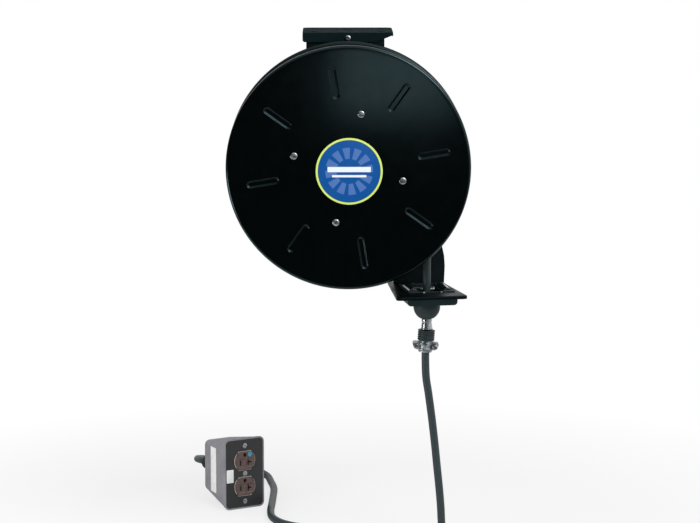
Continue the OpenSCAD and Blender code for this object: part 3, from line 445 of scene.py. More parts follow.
BLACK = enamel("black_enamel", (0.003, 0.004, 0.0045), 0.38, 0.35)
# The front disc's enamel is darker than the rear disc's same enamel: painted shade, standing in for the shade
# over most of the front face.
SHADED_DISC_BLACK = enamel("disc_enamel", (0.0006, 0.001, 0.0012), 0.18, 0.4, peel=0.5, drift=0.3)
REAR_BLACK = enamel("rear_disc_enamel", (0.002, 0.0026, 0.003), 0.4, 0.25)
PLATE_BLACK = enamel("plate_enamel", (0.005, 0.012, 0.014), 0.8, 0.03)
# The guide shelf's enamel is darker than the frame's same black enamel: painted shade, standing in for the
# disc's shadow over the shelf.
SHADED_GUIDE_BLACK = enamel("guide_enamel_painted_shade", (0.0012, 0.0022, 0.0026), 0.36, 0.06)
BLOCK_BLACK = enamel("cast_enamel", (0.014, 0.026, 0.03), 0.5, 0.2)
ZINC = zinc("zinc_plate", (0.38, 0.4, 0.415), 0.24)
STEEL = bare_metal("machined_steel", (0.42, 0.42, 0.43))
DARK_STEEL = bare_metal("oiled_steel", (0.16, 0.16, 0.17), 0.4)
BLUED = bare_metal("blued_spring_steel", (0.1, 0.12, 0.18), 0.28)
BRONZE = bare_metal("sintered_bronze", (0.5, 0.33, 0.16), 0.45)
BRASS = bare_metal("turned_brass", (0.78, 0.57, 0.25), 0.25)
CAST = cast_metal("die_cast_zinc", (0.34, 0.37, 0.39), 0.4)
JACKET = cord_jacket("cord_jacket", (0.019, 0.032, 0.036))
BALL_RUBBER = rubber("ball_rubber", (0.015, 0.027, 0.03))
SLEEVE_RUBBER = rubber("sleeve_rubber", (0.014, 0.027, 0.029), 0.5)
BOX_RUBBER = rubber("box_rubber", (0.24, 0.235, 0.26), 0.6)
BLACK_PLASTIC = plastic("black_plastic", (0.02, 0.021, 0.022))
RED_PLASTIC = plastic("red_insulator", (0.2, 0.03, 0.02))
BROWN_PLASTIC = plastic("brown_outlet", (0.1, 0.062, 0.055), 0.3, 0.5)
CARBON = plastic("brush_carbon", (0.025, 0.025, 0.025), 0.6)
PALE = sticker("blank_sticker", (0.84, 0.85, 0.84))
BLUE_DOT = sticker("blue_sticker", (0.03, 0.3, 0.45))
# Pale colour for the outlets' rims: a painted highlight where each rim catches the light.
EDGE_HIGHLIGHT_PAINT = plastic("painted_edge_highlight", (0.62, 0.57, 0.54), 0.4)
ROLLER = plastic("roller_nylon", (0.006, 0.009, 0.01), 0.14, 0.7)


def label_print(name):
    """The round label: blue field, yellow-green border, a ring of twelve pale blue segments and two white
    bars. Everything is a distance or an angle about the label's middle."""
    blue, pale_blue = (0.0, 0.075, 0.3), (0.07, 0.16, 0.42)
    lime, white = (0.62, 0.76, 0.17), (0.78, 0.84, 0.88)
    f = Finish(name, (0.0, 0.08, 0.32), 0.34, specular=0.25)
    xyz = f.node("ShaderNodeSeparateXYZ", {0: f.place})
    x = f.math("SUBTRACT", xyz.outputs[0], LABEL_SHIFT[0])
    z = f.math("SUBTRACT", xyz.outputs[2], AXLE_Z + LABEL_SHIFT[1])
    r = f.math("SQRT", f.math("ADD", f.math("MULTIPLY", x, x), f.math("MULTIPLY", z, z)))
    edge = 0.25 * MM

    def band(value, low, high):
        above, below = f.ramp(value, low - edge, low + edge), f.ramp(value, high + edge, high - edge)
        return f.math("MULTIPLY", above, below)

    turn = f.math("MULTIPLY", f.math("ARCTAN2", z, x), 12)
    segments = f.ramp(f.math("SINE", turn), -0.5, -0.3)
    colour = f.mix(f.math("MULTIPLY", segments, band(r, 17 * MM, 32 * MM)), blue, pale_blue)
    wide = f.math("ABSOLUTE", x)
    bar = f.math("MULTIPLY", band(z, -1 * MM, 6 * MM), f.ramp(wide, 29 * MM + edge, 29 * MM - edge))
    thin = f.math("MULTIPLY", band(z, -8 * MM, -5 * MM), f.ramp(wide, 23 * MM + edge, 23 * MM - edge))
    colour = f.mix(f.math("ADD", bar, thin, clamp=True), colour, white)
    colour = f.mix(band(r, 41.6 * MM, 42.2 * MM), colour, tint(blue, 0.3))
    colour = f.mix(f.ramp(r, 42.2 * MM - edge, 42.2 * MM + edge), colour, lime)
    wear = f.ramp(f.noise(120, 5), 0.55, 0.85)
    f.paint_with(f.mix(f.math("MULTIPLY", wear, 0.02), colour, (0.4, 0.4, 0.4)))
    f.rough_with(f.ramp(f.noise(70, 3), 0.3, 0.7, 0.28, 0.42))
    f.bump_with(f.noise(1500, 2), 0.00002, 0.3)
    return f.material


LABEL = label_print("label_print")

SLOT_FINISH = {
    "black_paint": BLACK, "zinc": ZINC, "steel": STEEL, "dark_steel": DARK_STEEL, "bronze": BRONZE,
    "brass": BRASS, "blued_steel": BLUED, "cast_zinc": CAST, "black_plastic": BLACK_PLASTIC,
    "red_plastic": RED_PLASTIC, "brown_plastic": BROWN_PLASTIC, "carbon": CARBON, "label_blue": LABEL,
    "tag_pale": PALE, "guide_casting": BLOCK_BLACK, "cord_jacket": JACKET, "ball_rubber": BALL_RUBBER,
    "black_rubber": SLEEVE_RUBBER, "box_rubber": BOX_RUBBER,
}
SLOT_OF = {entry["node"]: entry["material_slot"] for entry in frame["record"]["subparts"]}
for node, slot in SLOT_OF.items():
    NODES[node].data.materials.clear()
    NODES[node].data.materials.append(SLOT_FINISH[slot])

# -- Cords --------------------------------------------------------------------

place_camera()

free_path = smooth_route(FREE_ROUTE, 8)
free_cord = tube("hanging_cord", free_path, CORD_R, "frame", JACKET, ["free_cord"])


def lead_turn():
    """The turn that leaves the winding: an arc that crosses the layer from near the rear disc to the drum's
    middle, then the straight run down through the guide and the stop to the clamp."""
    first, last = 210, 15
    degrees = np.arange(first, 4, -5)
    turns = np.radians(degrees)
    crossing = DRUM_MID - WIND_START - 3 * MM
    station = DRUM_MID - crossing * np.clip(degrees - last, 0, None) / (first - last)
    arc = on_axle(np.stack([LEAD_R * np.cos(turns), LEAD_R * np.sin(turns), station], -1))
    drop = [(LEAD_R, DRUM_Y, z) for z in AXLE_Z - np.arange(0, 181, 30) * MM]
    drop += [(LEAD_R, DRUM_Y, FERRULE_TOP), (LEAD_R, DRUM_Y, SLEEVE_TOP),
             (LEAD_R - 0.5 * MM, DRUM_Y, SLEEVE_TOP - 8 * MM)]
    drop += [FREE_ROUTE[0] + [0, 0, 6 * MM], FREE_ROUTE[0]]
    path = smooth_route(np.concatenate([arc, np.array(drop)]), 3)
    tube("lead_turn", path, CORD_R, "frame", JACKET, ["lead_cord"])


lead_turn()


def outer_layer():
    """The outer layer of the winding: a helix between the discs whose two ends are tucked in by one cord's
    width."""
    turns = np.linspace(0, LOOPS * 2 * np.pi, int(LOOPS * 90))
    station = WIND_START + (WIND_END - WIND_START) * turns / turns[-1]
    path = on_axle(np.stack([LAYER_R * np.cos(turns), LAYER_R * np.sin(turns), station], -1))
    path = np.concatenate([path[:1] - [0, 0, CORD_D], path, path[-1:] - [CORD_D, 0, 0]])
    tube("outer_layer", path, CORD_R, "spool", JACKET, ["wound_cord"], sides=20)


outer_layer()


# -- Spool --------------------------------------------------------------------

def stamped_disc(name, node, material, start, sense, bore):
    """One pressed disc as a polar grid. Its section runs out along the face, round the curled rim and back
    along the winding side. Eight radial ribs are pressed in by a smooth step of the distance to each rib's
    middle line. Columns crowd where the ribs are."""
    rib_in, rib_out, rib_half, slope = 95 * MM, 138 * MM, 4.25 * MM, 1.7 * MM
    count, first, crowded = 8, math.radians(9.5), 0.085
    pitch = 2 * math.pi / count
    crowd = np.linspace(-crowded, crowded, 39)
    sparse = np.linspace(crowded, pitch - crowded, 24)[1:-1]
    a = (first + np.arange(count)[:, None] * pitch + np.concatenate([crowd, sparse])).ravel()
    face = np.concatenate([[bore], np.linspace(max(bore + 4 * MM, 20 * MM), 91 * MM, 9),
                           np.linspace(92 * MM, 141 * MM, 66), [145 * MM, 150 * MM, 154 * MM, 156.6 * MM]])
    curl_h = SHEET_T - RIM_R
    curl = np.linspace(math.pi / 2, -math.pi - math.asin(-curl_h / RIM_R), 30)
    back = np.concatenate([[155 * MM, 148 * MM], np.linspace(141 * MM, 92 * MM, 50),
                           [80 * MM, 50 * MM, 30 * MM, bore]])
    r = np.concatenate([face, DISC_R - RIM_R + RIM_R * np.cos(curl), back])
    h = np.concatenate([np.full(len(face), SHEET_T), curl_h + RIM_R * np.sin(curl), np.zeros(len(back))])
    r, h = r[:, None], h[:, None]
    turn = (a - first + pitch / 2) % pitch - pitch / 2
    off, out = r * np.sin(turn), r * np.cos(turn)
    gap = np.hypot(off, out - np.clip(out, rib_in + rib_half, rib_out - rib_half))
    winding_side = np.arange(len(r))[:, None] >= len(r) - len(back)
    step = np.clip((rib_half + np.where(winding_side, 0.4, 0.3) * MM - gap) / slope, 0, 1)
    h = h - RIB_DEPTH * step * step * (3 - 2 * step) * (r < 150 * MM)
    pts = np.stack([r * np.cos(a), r * np.sin(a), start + sense * h], -1)
    faces = grid_faces(len(r), len(a), close_rows=bore > 0, close_cols=True)
    piece(name, on_axle(pts), faces, "spool", material, [node], angle=50)


stamped_disc("front_pressed_disc", "front_disc", SHADED_DISC_BLACK, FRONT_IN, 1, 0)
stamped_disc("rear_pressed_disc", "rear_disc", REAR_BLACK, REAR_IN, -1, 14 * MM)


def inner_turns():
    """The layer under the outer one: a ring whose outside swells once for each turn of cord, by the height
    of a circle over its own chord."""
    turns, steps, side_gap = 7, 160, 2.3 * MM
    valley, rise, lining = CORE_R - 4.6 * MM, 4.4 * MM, HUB_R + 0.4 * MM
    start, width = REAR_IN + side_gap, FRONT_IN - REAR_IN - 2 * side_gap
    across = np.linspace(0, 1, turns * 12 + 1)
    swell = np.sqrt(np.clip(1 - (2 * ((across * turns) % 1) - 1) ** 2, 0, 1))
    outside = np.stack([valley + rise * swell, start + across * width], -1)
    section = np.concatenate([outside, [(lining, start + width), (lining, start)]])
    pts, faces = turned(section, steps)
    a = np.linspace(0, 2 * math.pi, steps, endpoint=False)
    uv = np.stack(np.broadcast_arrays(CORE_R * a, np.linspace(0, turns, len(section))[:, None]), -1)
    piece("inner_turns", on_axle(pts), faces, "spool", JACKET, ["wound_cord_core"], uv=uv)


inner_turns()


def screw_heads(name, node, body, places, head_r, head_h, shank_r, shank_l, drive="cross", to=on_axle):
    """Screws as one closed polar surface each: a domed head whose drive recess is a steep ramp of the
    distance to a cross or a slot, then the underside and the shank."""
    rings, steps = 26, 64
    dome = np.linspace(0, 1, rings)
    lift = head_h * (0.62 + 0.38 * np.sqrt(np.clip(1 - (dome * 0.96) ** 2, 0, 1)))
    r = np.concatenate([dome * head_r, [head_r, head_r, shank_r, shank_r, 0]])[:, None]
    h = np.concatenate([lift, [head_h * 0.45, 0, 0, -shank_l, -shank_l]])[:, None]
    on_dome = np.arange(len(r))[:, None] < rings
    a = np.linspace(0, 2 * math.pi, steps, endpoint=False)
    x, y = r * np.cos(a), r * np.sin(a)
    arm_long, arm_half, slot_half = head_r * 0.56, head_r * 0.15, head_r * 0.13
    parts = []
    for at, turn in places:
        u = np.abs(x * math.cos(turn) + y * math.sin(turn))
        v = np.abs(y * math.cos(turn) - x * math.sin(turn))
        if drive == "cross":
            near = np.minimum(np.maximum(u - arm_long, v - arm_half), np.maximum(v - arm_long, u - arm_half))
        else:
            near = v - slot_half
        sink = np.clip(0.5 - near / (0.1 * head_r), 0, 1) * on_dome
        pts = np.stack([x, y, h - sink * head_h * 0.5], -1) + np.asarray(at)
        parts.append((to(pts), grid_faces(len(r), steps, close_cols=True)))
    verts, faces = joined(parts)
    piece(name, verts, faces, body, ZINC, [node], angle=35)


bolt_turns = np.radians([77, 167, 257, 347])
bolt_places = [((BOLT_CIRCLE * math.cos(a), BOLT_CIRCLE * math.sin(a), FRONT_FACE), a * 1.3)
               for a in bolt_turns]
screw_heads("spool_screws", "spool_bolts", "spool", bolt_places,
            4.5 * MM, 3 * MM, 2.5 * MM, FRONT_FACE - REAR_FACE + 4.6 * MM)


def spool_label():
    """A thin round sticker: a flat face that rolls over at its edge."""
    r, thick = LABEL_R, 0.4 * MM
    section = [(0, thick), (r * 0.5, thick), (r - 0.5 * MM, thick), (r - 0.1 * MM, 0.3 * MM), (r, 0.05 * MM),
               (r, 0), (0, 0)]
    pts, faces = turned(section, 160, loop=False)
    pts = on_axle(pts + [*LABEL_SHIFT, FRONT_FACE])
    piece("spool_label", pts, faces, "spool", LABEL, ["hub_label"])


spool_label()
screw_heads("lip_screw", "frame_screw", "frame", [((0, -7.5 * MM - AXLE_Z, 5 * MM), 0.4)],
            3.8 * MM, 2.6 * MM, 2 * MM, 13 * MM)


# -- Guide --------------------------------------------------------------------

def roller(name, node, middle, along, length):
    """A moulded roller with rounded ends and its pin's bore, a little thinner between its two end bands."""
    r, bore, half = ROLLER_R, 2.3 * MM, length / 2
    low, from_end, past_step = r - 0.25 * MM, half - 3 * MM, half - 3.4 * MM
    corners = [(bore, -half), (r, -half), (r, -from_end), (low, -past_step), (low, past_step), (r, from_end),
               (r, half), (bore, half)]
    section = rounded_profile(corners, np.array([0.3, 1.1, 0.2, 0.2, 0.2, 0.2, 1.1, 0.3]) * MM)
    pts, faces = turned(section, 48)
    x, y, z = pts[..., 0], pts[..., 1], pts[..., 2]
    pts = np.stack([z, x, y] if along == "x" else [x, z, y], -1)
    piece(name, at_guide(pts + middle), faces, node, ROLLER, [node])


roller("left_guide_roller", "left_roller", (-SIDE_PIN_X, 0, SIDE_ROLLER_Z), "y", 51 * MM)
roller("right_guide_roller", "right_roller", (SIDE_PIN_X, 0, SIDE_ROLLER_Z), "y", 51 * MM)
roller("front_guide_roller", "front_roller", (0, -END_PIN_Y, END_ROLLER_Z), "x", 33 * MM)
roller("rear_guide_roller", "rear_roller", (0, END_PIN_Y, END_ROLLER_Z), "x", 33 * MM)


# -- Ball stop and clamp ------------------------------------------------------

def ball_stop():
    """The rubber ball that stops the cord at the guide: an arc of latitude with a low seam ridge at its
    middle, a flat below and a bore."""
    lat = np.linspace(math.pi / 2 - 0.33, -1.03, 60)
    ridge = 1 - 0.012 + 0.012 * np.exp(-(lat * BALL_R / (0.7 * MM)) ** 2)
    arc = np.stack([BALL_R * ridge * np.cos(lat), BALL_R * ridge * np.sin(lat)], -1)
    bore = CORD_R + FIT
    section = np.concatenate([[(bore, BALL_R * 0.92)], arc, [(7 * MM, -BALL_FLAT), (bore, -BALL_FLAT)]])
    pts, faces = turned(section, 96)
    pts = on_cord(pts + [0, 0, BALL_Z])
    piece("ball_stop", pts, faces, "frame", BALL_RUBBER, ["ball_stop"])


ball_stop()


def stop_ferrule():
    """The metal collar under the ball, turned round the cord: a lip below, a cone, a groove and a neck."""
    bore = (CORD_R + FIT) / MM
    corners = [(bore, 0), (8.2, 0), (8.2, 1.6), (7.6, 2.1), (7.1, 8), (6.5, 8.6), (6.5, 10.4), (7.1, 11),
               (7.1, 14), (6.4, 15.1), (bore, 15.1)]
    radii = [0.2, 0.5, 0.4, 0.4, 0.5, 0.3, 0.3, 0.4, 0.6, 0.4, 0.2]
    pts, faces = turned(rounded_profile(np.array(corners) * MM, np.array(radii) * MM), 72)
    pts = on_cord(pts + [0, 0, SLEEVE_TOP])
    piece("stop_ferrule", pts, faces, "frame", ZINC, ["stop_ferrule"], angle=50)


stop_ferrule()


def stop_sleeve():
    """The rubber grip above the clamp: five flat bands with rounded shoulders between narrow grooves."""
    bore, groove, band = CORD_R / MM + 1, 10.7, 11.7
    corners = [(bore, 0), (groove, 0)]
    for low in 0.6 + 3 * np.arange(5):
        corners += [(groove, low), (band, low + 0.2), (band, low + 1.75), (groove, low + 1.95)]
    corners += [(groove, 14.7), (bore, 14.7)]
    pts, faces = turned(rounded_profile(np.array(corners) * MM, 0.35 * MM, 3), 96)
    piece("stop_sleeve", at_stop(pts + [0, 0, CLAMP_TOP]), faces, "frame", SLEEVE_RUBBER,
          ["stop_sleeve"])


stop_sleeve()


# -- Softened CAD shapes ---------------------------------------------------------

def softened(name, node, body, width):
    """The node's own shape with doubles merged and flat facets joined, its edges rounded by a bevel."""
    sharp, flat = math.radians(35), math.radians(1.5)
    mesh = NODES[node].data.copy()
    bm = bmesh.new()
    bm.from_mesh(mesh)
    bmesh.ops.remove_doubles(bm, verts=bm.verts, dist=5e-6)
    bmesh.ops.dissolve_limit(bm, angle_limit=flat, verts=bm.verts, edges=bm.edges)
    bmesh.ops.recalc_face_normals(bm, faces=bm.faces)
    bm.to_mesh(mesh)
    bm.free()
    mesh.polygons.foreach_set("use_smooth", np.ones(len(mesh.polygons), dtype=bool))
    mesh.set_sharp_from_angle(angle=sharp)
    obj = bpy.data.objects.new(name, mesh)
    bpy.context.scene.collection.objects.link(obj)
    bevel = obj.modifiers.new("edges", "BEVEL")
    bevel.width, bevel.segments, bevel.limit_method = width, 2, "ANGLE"
    bevel.angle_limit, bevel.harden_normals, bevel.use_clamp_overlap = sharp, True, True
    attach(obj, body)
    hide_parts(node)
    return obj


top_plate = softened("plate_with_lip", "ceiling_plate", "frame", 0.9 * MM)
top_plate.data.materials[0] = PLATE_BLACK
for name, node, width in (
        ("upright_channel", "frame_channel", 0.9),
        ("guide_bracket", "guide_arm", 0.8), ("roller_housing", "roller_box", 0.8),
        ("outlet_cover", "box_cover", 0.4), ("outlet_strap", "receptacle_strap", 0.15),
        ("inlet_gland_nut", "inlet_gland", 0.4), ("axle_nut", "shaft_nut", 0.5), ("axle", "main_shaft", 0.3),
        ("pawl_rivet", "pawl_pin", 0.3), ("bracket_bolts", "arm_bolts", 0.4),
        ("foot_bolts", "shelf_bolts", 0.3), ("clamp_ear_screws", "clamp_screws", 0.3)):
    softened(name, node, "frame", width * MM)
for name, node, width in (
        ("through_bolt_nuts", "spool_nuts", 0.3), ("ratchet", "ratchet_wheel", 0.25),
        ("spring_housing", "spring_case", 0.5), ("spring_housing_lid", "spring_lid", 0.3)):
    softened(name, node, "spool", width * MM)
softened("latch_pawl", "pawl", "pawl", 0.3 * MM)


# -- Shelf ------------------------------------------------------------------------

def rounded_box(wide, high, corner):
    """Points round a rectangle with arc corners, evenly spaced by the arc of each corner and along each
    side."""
    steps = 15
    t = np.linspace(0, math.pi / 2, steps)
    arcs = []
    for i, (sx, sy) in enumerate(((1, 1), (-1, 1), (-1, -1), (1, -1))):
        c = np.array([sx * (wide / 2 - corner), sy * (high / 2 - corner)])
        a = t + i * math.pi / 2
        arcs.append(c + corner * np.stack([np.cos(a), np.sin(a)], -1))
    out = []
    for i in range(4):
        a, b = arcs[i], arcs[(i + 1) % 4][0]
        side = a[-1] + (b - a[-1]) * np.linspace(0, 1, steps + 2)[1:-1, None]
        out += [a, side]
    return np.concatenate(out)


def round_outline(corners, radius):
    """An outline seen from its origin: where each of 240 evenly turned rays meets the rounded polygon."""
    p = rounded_profile(corners, radius, 8)
    a = np.arctan2(p[:, 1], p[:, 0])
    order = np.argsort(a)
    p, a = p[order], a[order]
    p = np.concatenate([p[-1:], p, p[:1]])
    a = np.concatenate([a[-1:] - 2 * math.pi, a, a[:1] + 2 * math.pi])
    ray = np.linspace(-math.pi, math.pi, 240, endpoint=False)
    k = np.clip(np.searchsorted(a, ray, side="right"), 1, len(a) - 1)
    u, v = p[k - 1], p[k]
    d = np.stack([np.cos(ray), np.sin(ray)], -1)
    e = v - u
    t = (u[:, 0] * e[:, 1] - u[:, 1] * e[:, 0]) / (d[:, 0] * e[:, 1] - d[:, 1] * e[:, 0])
    return d * t[:, None]


def inset(loop, by):
    """A closed loop moved inward along its own normals."""
    ahead = np.roll(loop, -1, axis=0) - np.roll(loop, 1, axis=0)
    ahead /= np.linalg.norm(ahead, axis=1)[:, None]
    return loop - by * np.stack([ahead[:, 1], -ahead[:, 0]], -1)


def layers(rows):
    """Rows of a loop and its height, stacked to one grid of points."""
    return np.stack([np.concatenate([loop, np.full((len(loop), 1), z)], axis=1) for loop, z in rows])


def guide_plate():
    """The pressed plate under the reel: a top face from the roller opening to the outline, a rounded edge
    turned down as a low lip, and the underside back to the opening."""
    corners = [(-52, -70), (43, -70), (33.3, 48), (30.6, 74), (28, 76), (-38, 76), (-41, 73), (-55, -67)]
    edge = round_outline(np.array(corners) * MM, np.array([4, 8, 4, 4, 4, 4, 4, 4]) * MM)
    hole = round_outline(np.array([(-31.4, -36.4), (31.4, -36.4), (31.4, 36.4), (-31.4, 36.4)]) * MM, 2 * MM)
    rows = [(hole, SHELF_TOP - SHELF_T), (hole, SHELF_TOP - 0.4 * MM), (inset(hole, -0.4 * MM), SHELF_TOP)]
    rows += [(inset(edge, i * MM), SHELF_TOP - drop * MM) for i, drop in (
        (2.4, 0), (1.2, 0.15), (0.4, 0.6), (0, 1.5), (0, 4.3), (0.4, 4.6), (1.6, 4.6), (2, 4.2), (2.4, 3))]
    pts = layers(rows)
    faces = grid_faces(len(pts), pts.shape[1], close_rows=True, close_cols=True)
    piece("guide_plate", at_guide(pts), faces, "frame", SHADED_GUIDE_BLACK, ["guide_shelf"])


guide_plate()


# -- Clamp ---------------------------------------------------------------------

def bar(outline, low, high, edge):
    """A closed bar with rounded edges: the outline carried from low to high, drawn in at both ends."""
    rows = [(edge * 8, low), (edge, low), (edge * 0.3, low + edge * 0.3), (0, low + edge), (0, high - edge),
            (edge * 0.3, high - edge * 0.3), (edge, high), (edge * 8, high)]
    pts = layers([(inset(outline, by), z) for by, z in rows])
    first, last = pts[[0, -1]].mean(axis=1)
    pts = closed_ends(pts[1:-1], first, last)
    return pts, grid_faces(len(pts), pts.shape[1], close_cols=True)


def clamp_half(name, node, sense):
    """Half of the two-ear cord clamp: a half ring with two raised bands, and a wedge-shaped ear plate,
    narrower at the bottom, on each side."""
    bore, high = CORD_R / MM + 1, CLAMP_H / MM
    corners = [(bore, 0), (9.3, 0), (9.3, 2.2), (10, 2.8), (10, 5.2), (9.3, 5.8), (9.3, 10.2), (10, 10.8),
               (10, 13.2), (9.3, 13.8), (9.3, high), (bore, high)]
    ring = rounded_profile(np.array(corners) * MM, 0.5 * MM, 4)
    a = np.linspace(math.pi + 0.09, 2 * math.pi - 0.09, 40)
    r, h = ring[:, 0][:, None], ring[:, 1][:, None]
    half = np.stack([r * np.cos(a), r * np.sin(a), h + 0 * a], -1)
    ends = half.mean(axis=0)[[0, -1]]
    half = closed_ends(half.swapaxes(0, 1), *ends).swapaxes(0, 1)
    parts = [(half, grid_faces(len(ring), half.shape[1], close_rows=True))]
    corners = [(7.5, 3.2), (12.6, 3.4), (16.2, 6.2), (18, 10.4), (17.4, 13.9), (7.5, 14.2)]
    ear = rounded_profile(np.array(corners) * MM, 1.3 * MM, 5)
    for outline in (ear[::-1] * [-1, 1], ear):
        pts, quads = bar(outline, -5.4 * MM, -0.8 * MM, 0.5 * MM)
        parts.append((pts[..., [0, 2, 1]], quads))
    pts, faces = joined(parts)
    pts = pts * [sense, sense, 1] + [0, 0, CLAMP_TOP - CLAMP_H]
    piece(name, at_stop(pts), faces, "frame", CAST, [node])


clamp_half("clamp_front_half", "front_clamp", 1)
clamp_half("clamp_rear_half", "rear_clamp", -1)


# -- Outlet box ------------------------------------------------------------------

def box_outline(z, inward=0.0):
    """The box's own rounded rectangle at a depth z behind its face, drawn in by a wall or an edge."""
    t = -z / BOX_D
    w, h = BOX_W + (BOX_BACK_W - BOX_W) * t, BOX_H + (BOX_BACK_H - BOX_H) * t
    return rounded_box(w - 2 * inward, h - 2 * inward, max(8 * MM - inward, 1.2 * MM))


def box_shell():
    """The moulded rubber box, from the back's middle out and along its tapering sides to the rolled lip
    round the face, then in along the cavity. The sides sit half a millimetre inside the lip's band."""
    back = [(-80, 20), (-80, 5), (-80, 3), (-79.6, 1.6), (-78.7, 0.9), (-77, 0.45)]
    sides = [(z, 0.45) for z in np.linspace(-74, -8.6, 14)]
    lip = [(-7.9, 0.3), (-7.4, 0.02), (-6, 0), (-3, 0), (-1.3, 0), (-0.6, 0.18), (-0.15, 0.6), (0, 1.2),
           (-0.1, 2.0), (-0.5, 2.55), (-1.1, 2.75), (-2.4, 2.8)]
    cavity = [(-2.4, 4.2), (-40, 4.2), (-75.5, 4.2), (-76, 8), (-76, 20)]
    pts = layers([(box_outline(z * MM, i * MM), z * MM) for z, i in back + sides + lip + cavity])
    pts = closed_ends(pts, [0, 0, -BOX_D], [0, 0, 4 * MM - BOX_D])
    piece("box_shell", at_box(pts), grid_faces(len(pts), pts.shape[1], close_cols=True), "frame", BOX_RUBBER,
          ["box_body"], angle=60)


box_shell()


def box_gland():
    """The tapered strain relief: a cone whose radius swells at five bands, thicker towards the box."""
    long, thin, thick = 42 * MM, 8.4 * MM, 13 * MM
    z = np.linspace(0, long, 211)
    r = thin + (thick - thin) * z / long
    band = ((z / MM - 5) % 7) / 2.6
    on_band = (z > 5 * MM) & (z < 36 * MM) & (band < 1)
    swell = np.where(on_band, np.sin(np.clip(band, 0, 1) * math.pi) ** 0.4, 0)
    r = r + 1.3 * MM * swell - 1.2 * MM * np.clip(1 - z / (1.2 * MM), 0, 1) ** 2
    section = np.concatenate([np.stack([r, z], -1), [[CORD_R, long]], [[CORD_R, 0]]])
    pts, faces = turned(section, 64)
    pts = at_box(pts + np.array([0, -6, -122]) * MM)
    piece("cord_grip", pts, faces, "frame", SLEEVE_RUBBER, ["box_gland"])


box_gland()


def outlet_reach(a):
    """How far an outlet's face reaches at an angle: a circle cut flat above and below."""
    return np.minimum(OUTLET_R, OUTLET_FLAT / np.maximum(np.abs(np.sin(a)), 1e-9))


def outlets():
    """Both outlet faces and the moulding behind them. Each face is a grid whose lines follow the slots'
    edges; its height drops by a slope into two shallow oblong pockets and straight down into the slots.
    Rays carry the grid's border out to the face's rounded rim."""
    pockets = [(-10.4, 0.2, -9.6, 3.4), (2.0, 13.2, -9.6, 3.4)]
    slots = [(-7.4, -5.6, -7, 0.5), (5, 7, -7.5, 1), (5, 11.6, -3.8, -1.8), (-2.6, 2.6, 8.2, 11)]
    slope, wall = 1.6, 0.05
    pocket_deep, slot_deep, round_end = 1.3 * MM, 9 * MM, 2.62 * MM

    def grid_lines(first, *others):
        """Lines over each pocket's slopes, on both sides of each slot's wall, and the others given."""
        low, high = np.array(pockets)[:, first:first + 2].T
        walls = np.array(slots)[:, first:first + 2]
        lines = [low, low + slope / 2, low + slope, high - slope, high - slope / 2, high]
        lines += [walls - wall, walls + wall]
        return np.unique(np.concatenate([np.ravel(line) for line in (*lines, *others)])) * MM

    across = grid_lines(0, [-13.4, 13.4, 0.0], np.linspace(-2.6, 2.6, 27))
    x, y = np.meshgrid(across, grid_lines(2, [-12.4, 12.4], np.linspace(5.4, 8.2, 18)))

    def in_box(x0, x1, y0, y1):
        return np.minimum(np.minimum(x - x0 * MM, x1 * MM - x), np.minimum(y - y0 * MM, y1 * MM - y))

    h = np.full(x.shape, PROUD)
    for pocket in pockets:
        h = h - pocket_deep * np.clip(in_box(*pocket) / (slope * MM), 0, 1)
    deep = np.hypot(x, y - 8.2 * MM) < round_end
    for slot in slots:
        deep |= in_box(*slot) > 0
    patch = np.stack([x, y, np.where(deep, -slot_deep, h)], -1)
    border = np.concatenate([patch[0, :-1], patch[:-1, -1], patch[-1, :0:-1], patch[:0:-1, 0]])
    turn = np.arctan2(border[:, 1], border[:, 0])
    ray = np.stack([np.cos(turn), np.sin(turn)], -1)
    rim = layers([(ray * (outlet_reach(turn) - i * MM)[:, None], z * MM)
                  for i, z in ((1.1, 1.2), (0.5, 1.1), (0.15, 0.85), (0, 0.4), (0, -5.4))])
    collar = np.concatenate([border[None], rim])
    parts = []
    for middle in (-OUTLET_PITCH / 2, OUTLET_PITCH / 2):
        parts.append((patch + [0, middle, 0], grid_faces(*x.shape)))
        parts.append((collar + [0, middle, 0], grid_faces(len(collar), len(turn), close_cols=True)))
    parts.append(bar(rounded_box(33 * MM, 70 * MM, 4 * MM), -28.4 * MM, -5 * MM, 0.6 * MM))
    pts, faces = joined(parts)
    piece("outlet_moulding", at_box(pts), faces, "frame", BROWN_PLASTIC, ["receptacle"],
          angle=50)


outlets()


def outlet_edge_highlights():
    """A painted highlight round each outlet's face, where its rim catches the light: a thin pale round bead
    along the rim.
    """
    thick, count = 0.32 * MM, 160
    a = np.linspace(0, 2 * math.pi, count, endpoint=False)
    rim = outlet_reach(a)[:, None] * np.stack([np.cos(a), np.sin(a)], -1)
    round_bead = np.linspace(0, 2 * math.pi, 8, endpoint=False)
    bead = layers([(inset(rim, 0.05 * MM + thick * math.cos(t)), 0.5 * MM + thick * math.sin(t))
                   for t in round_bead])
    quads = grid_faces(len(bead), count, close_rows=True, close_cols=True)
    pts, faces = joined([(bead + [0, middle, 0], quads) for middle in (-OUTLET_PITCH / 2, OUTLET_PITCH / 2)])
    piece("outlet_edge_highlights", at_box(pts), faces, "frame", EDGE_HIGHLIGHT_PAINT, ["receptacle"])


outlet_edge_highlights()
screw_heads("cover_screws", "box_screws", "frame",
            [((0, row * COVER_SCREW_PITCH / 2, 0), turn) for row, turn in ((-1, 0.5), (0, 1.9), (1, -0.6))],
            3.6 * MM, 1.6 * MM, 1.7 * MM, 10.4 * MM, drive="slot", to=at_box)


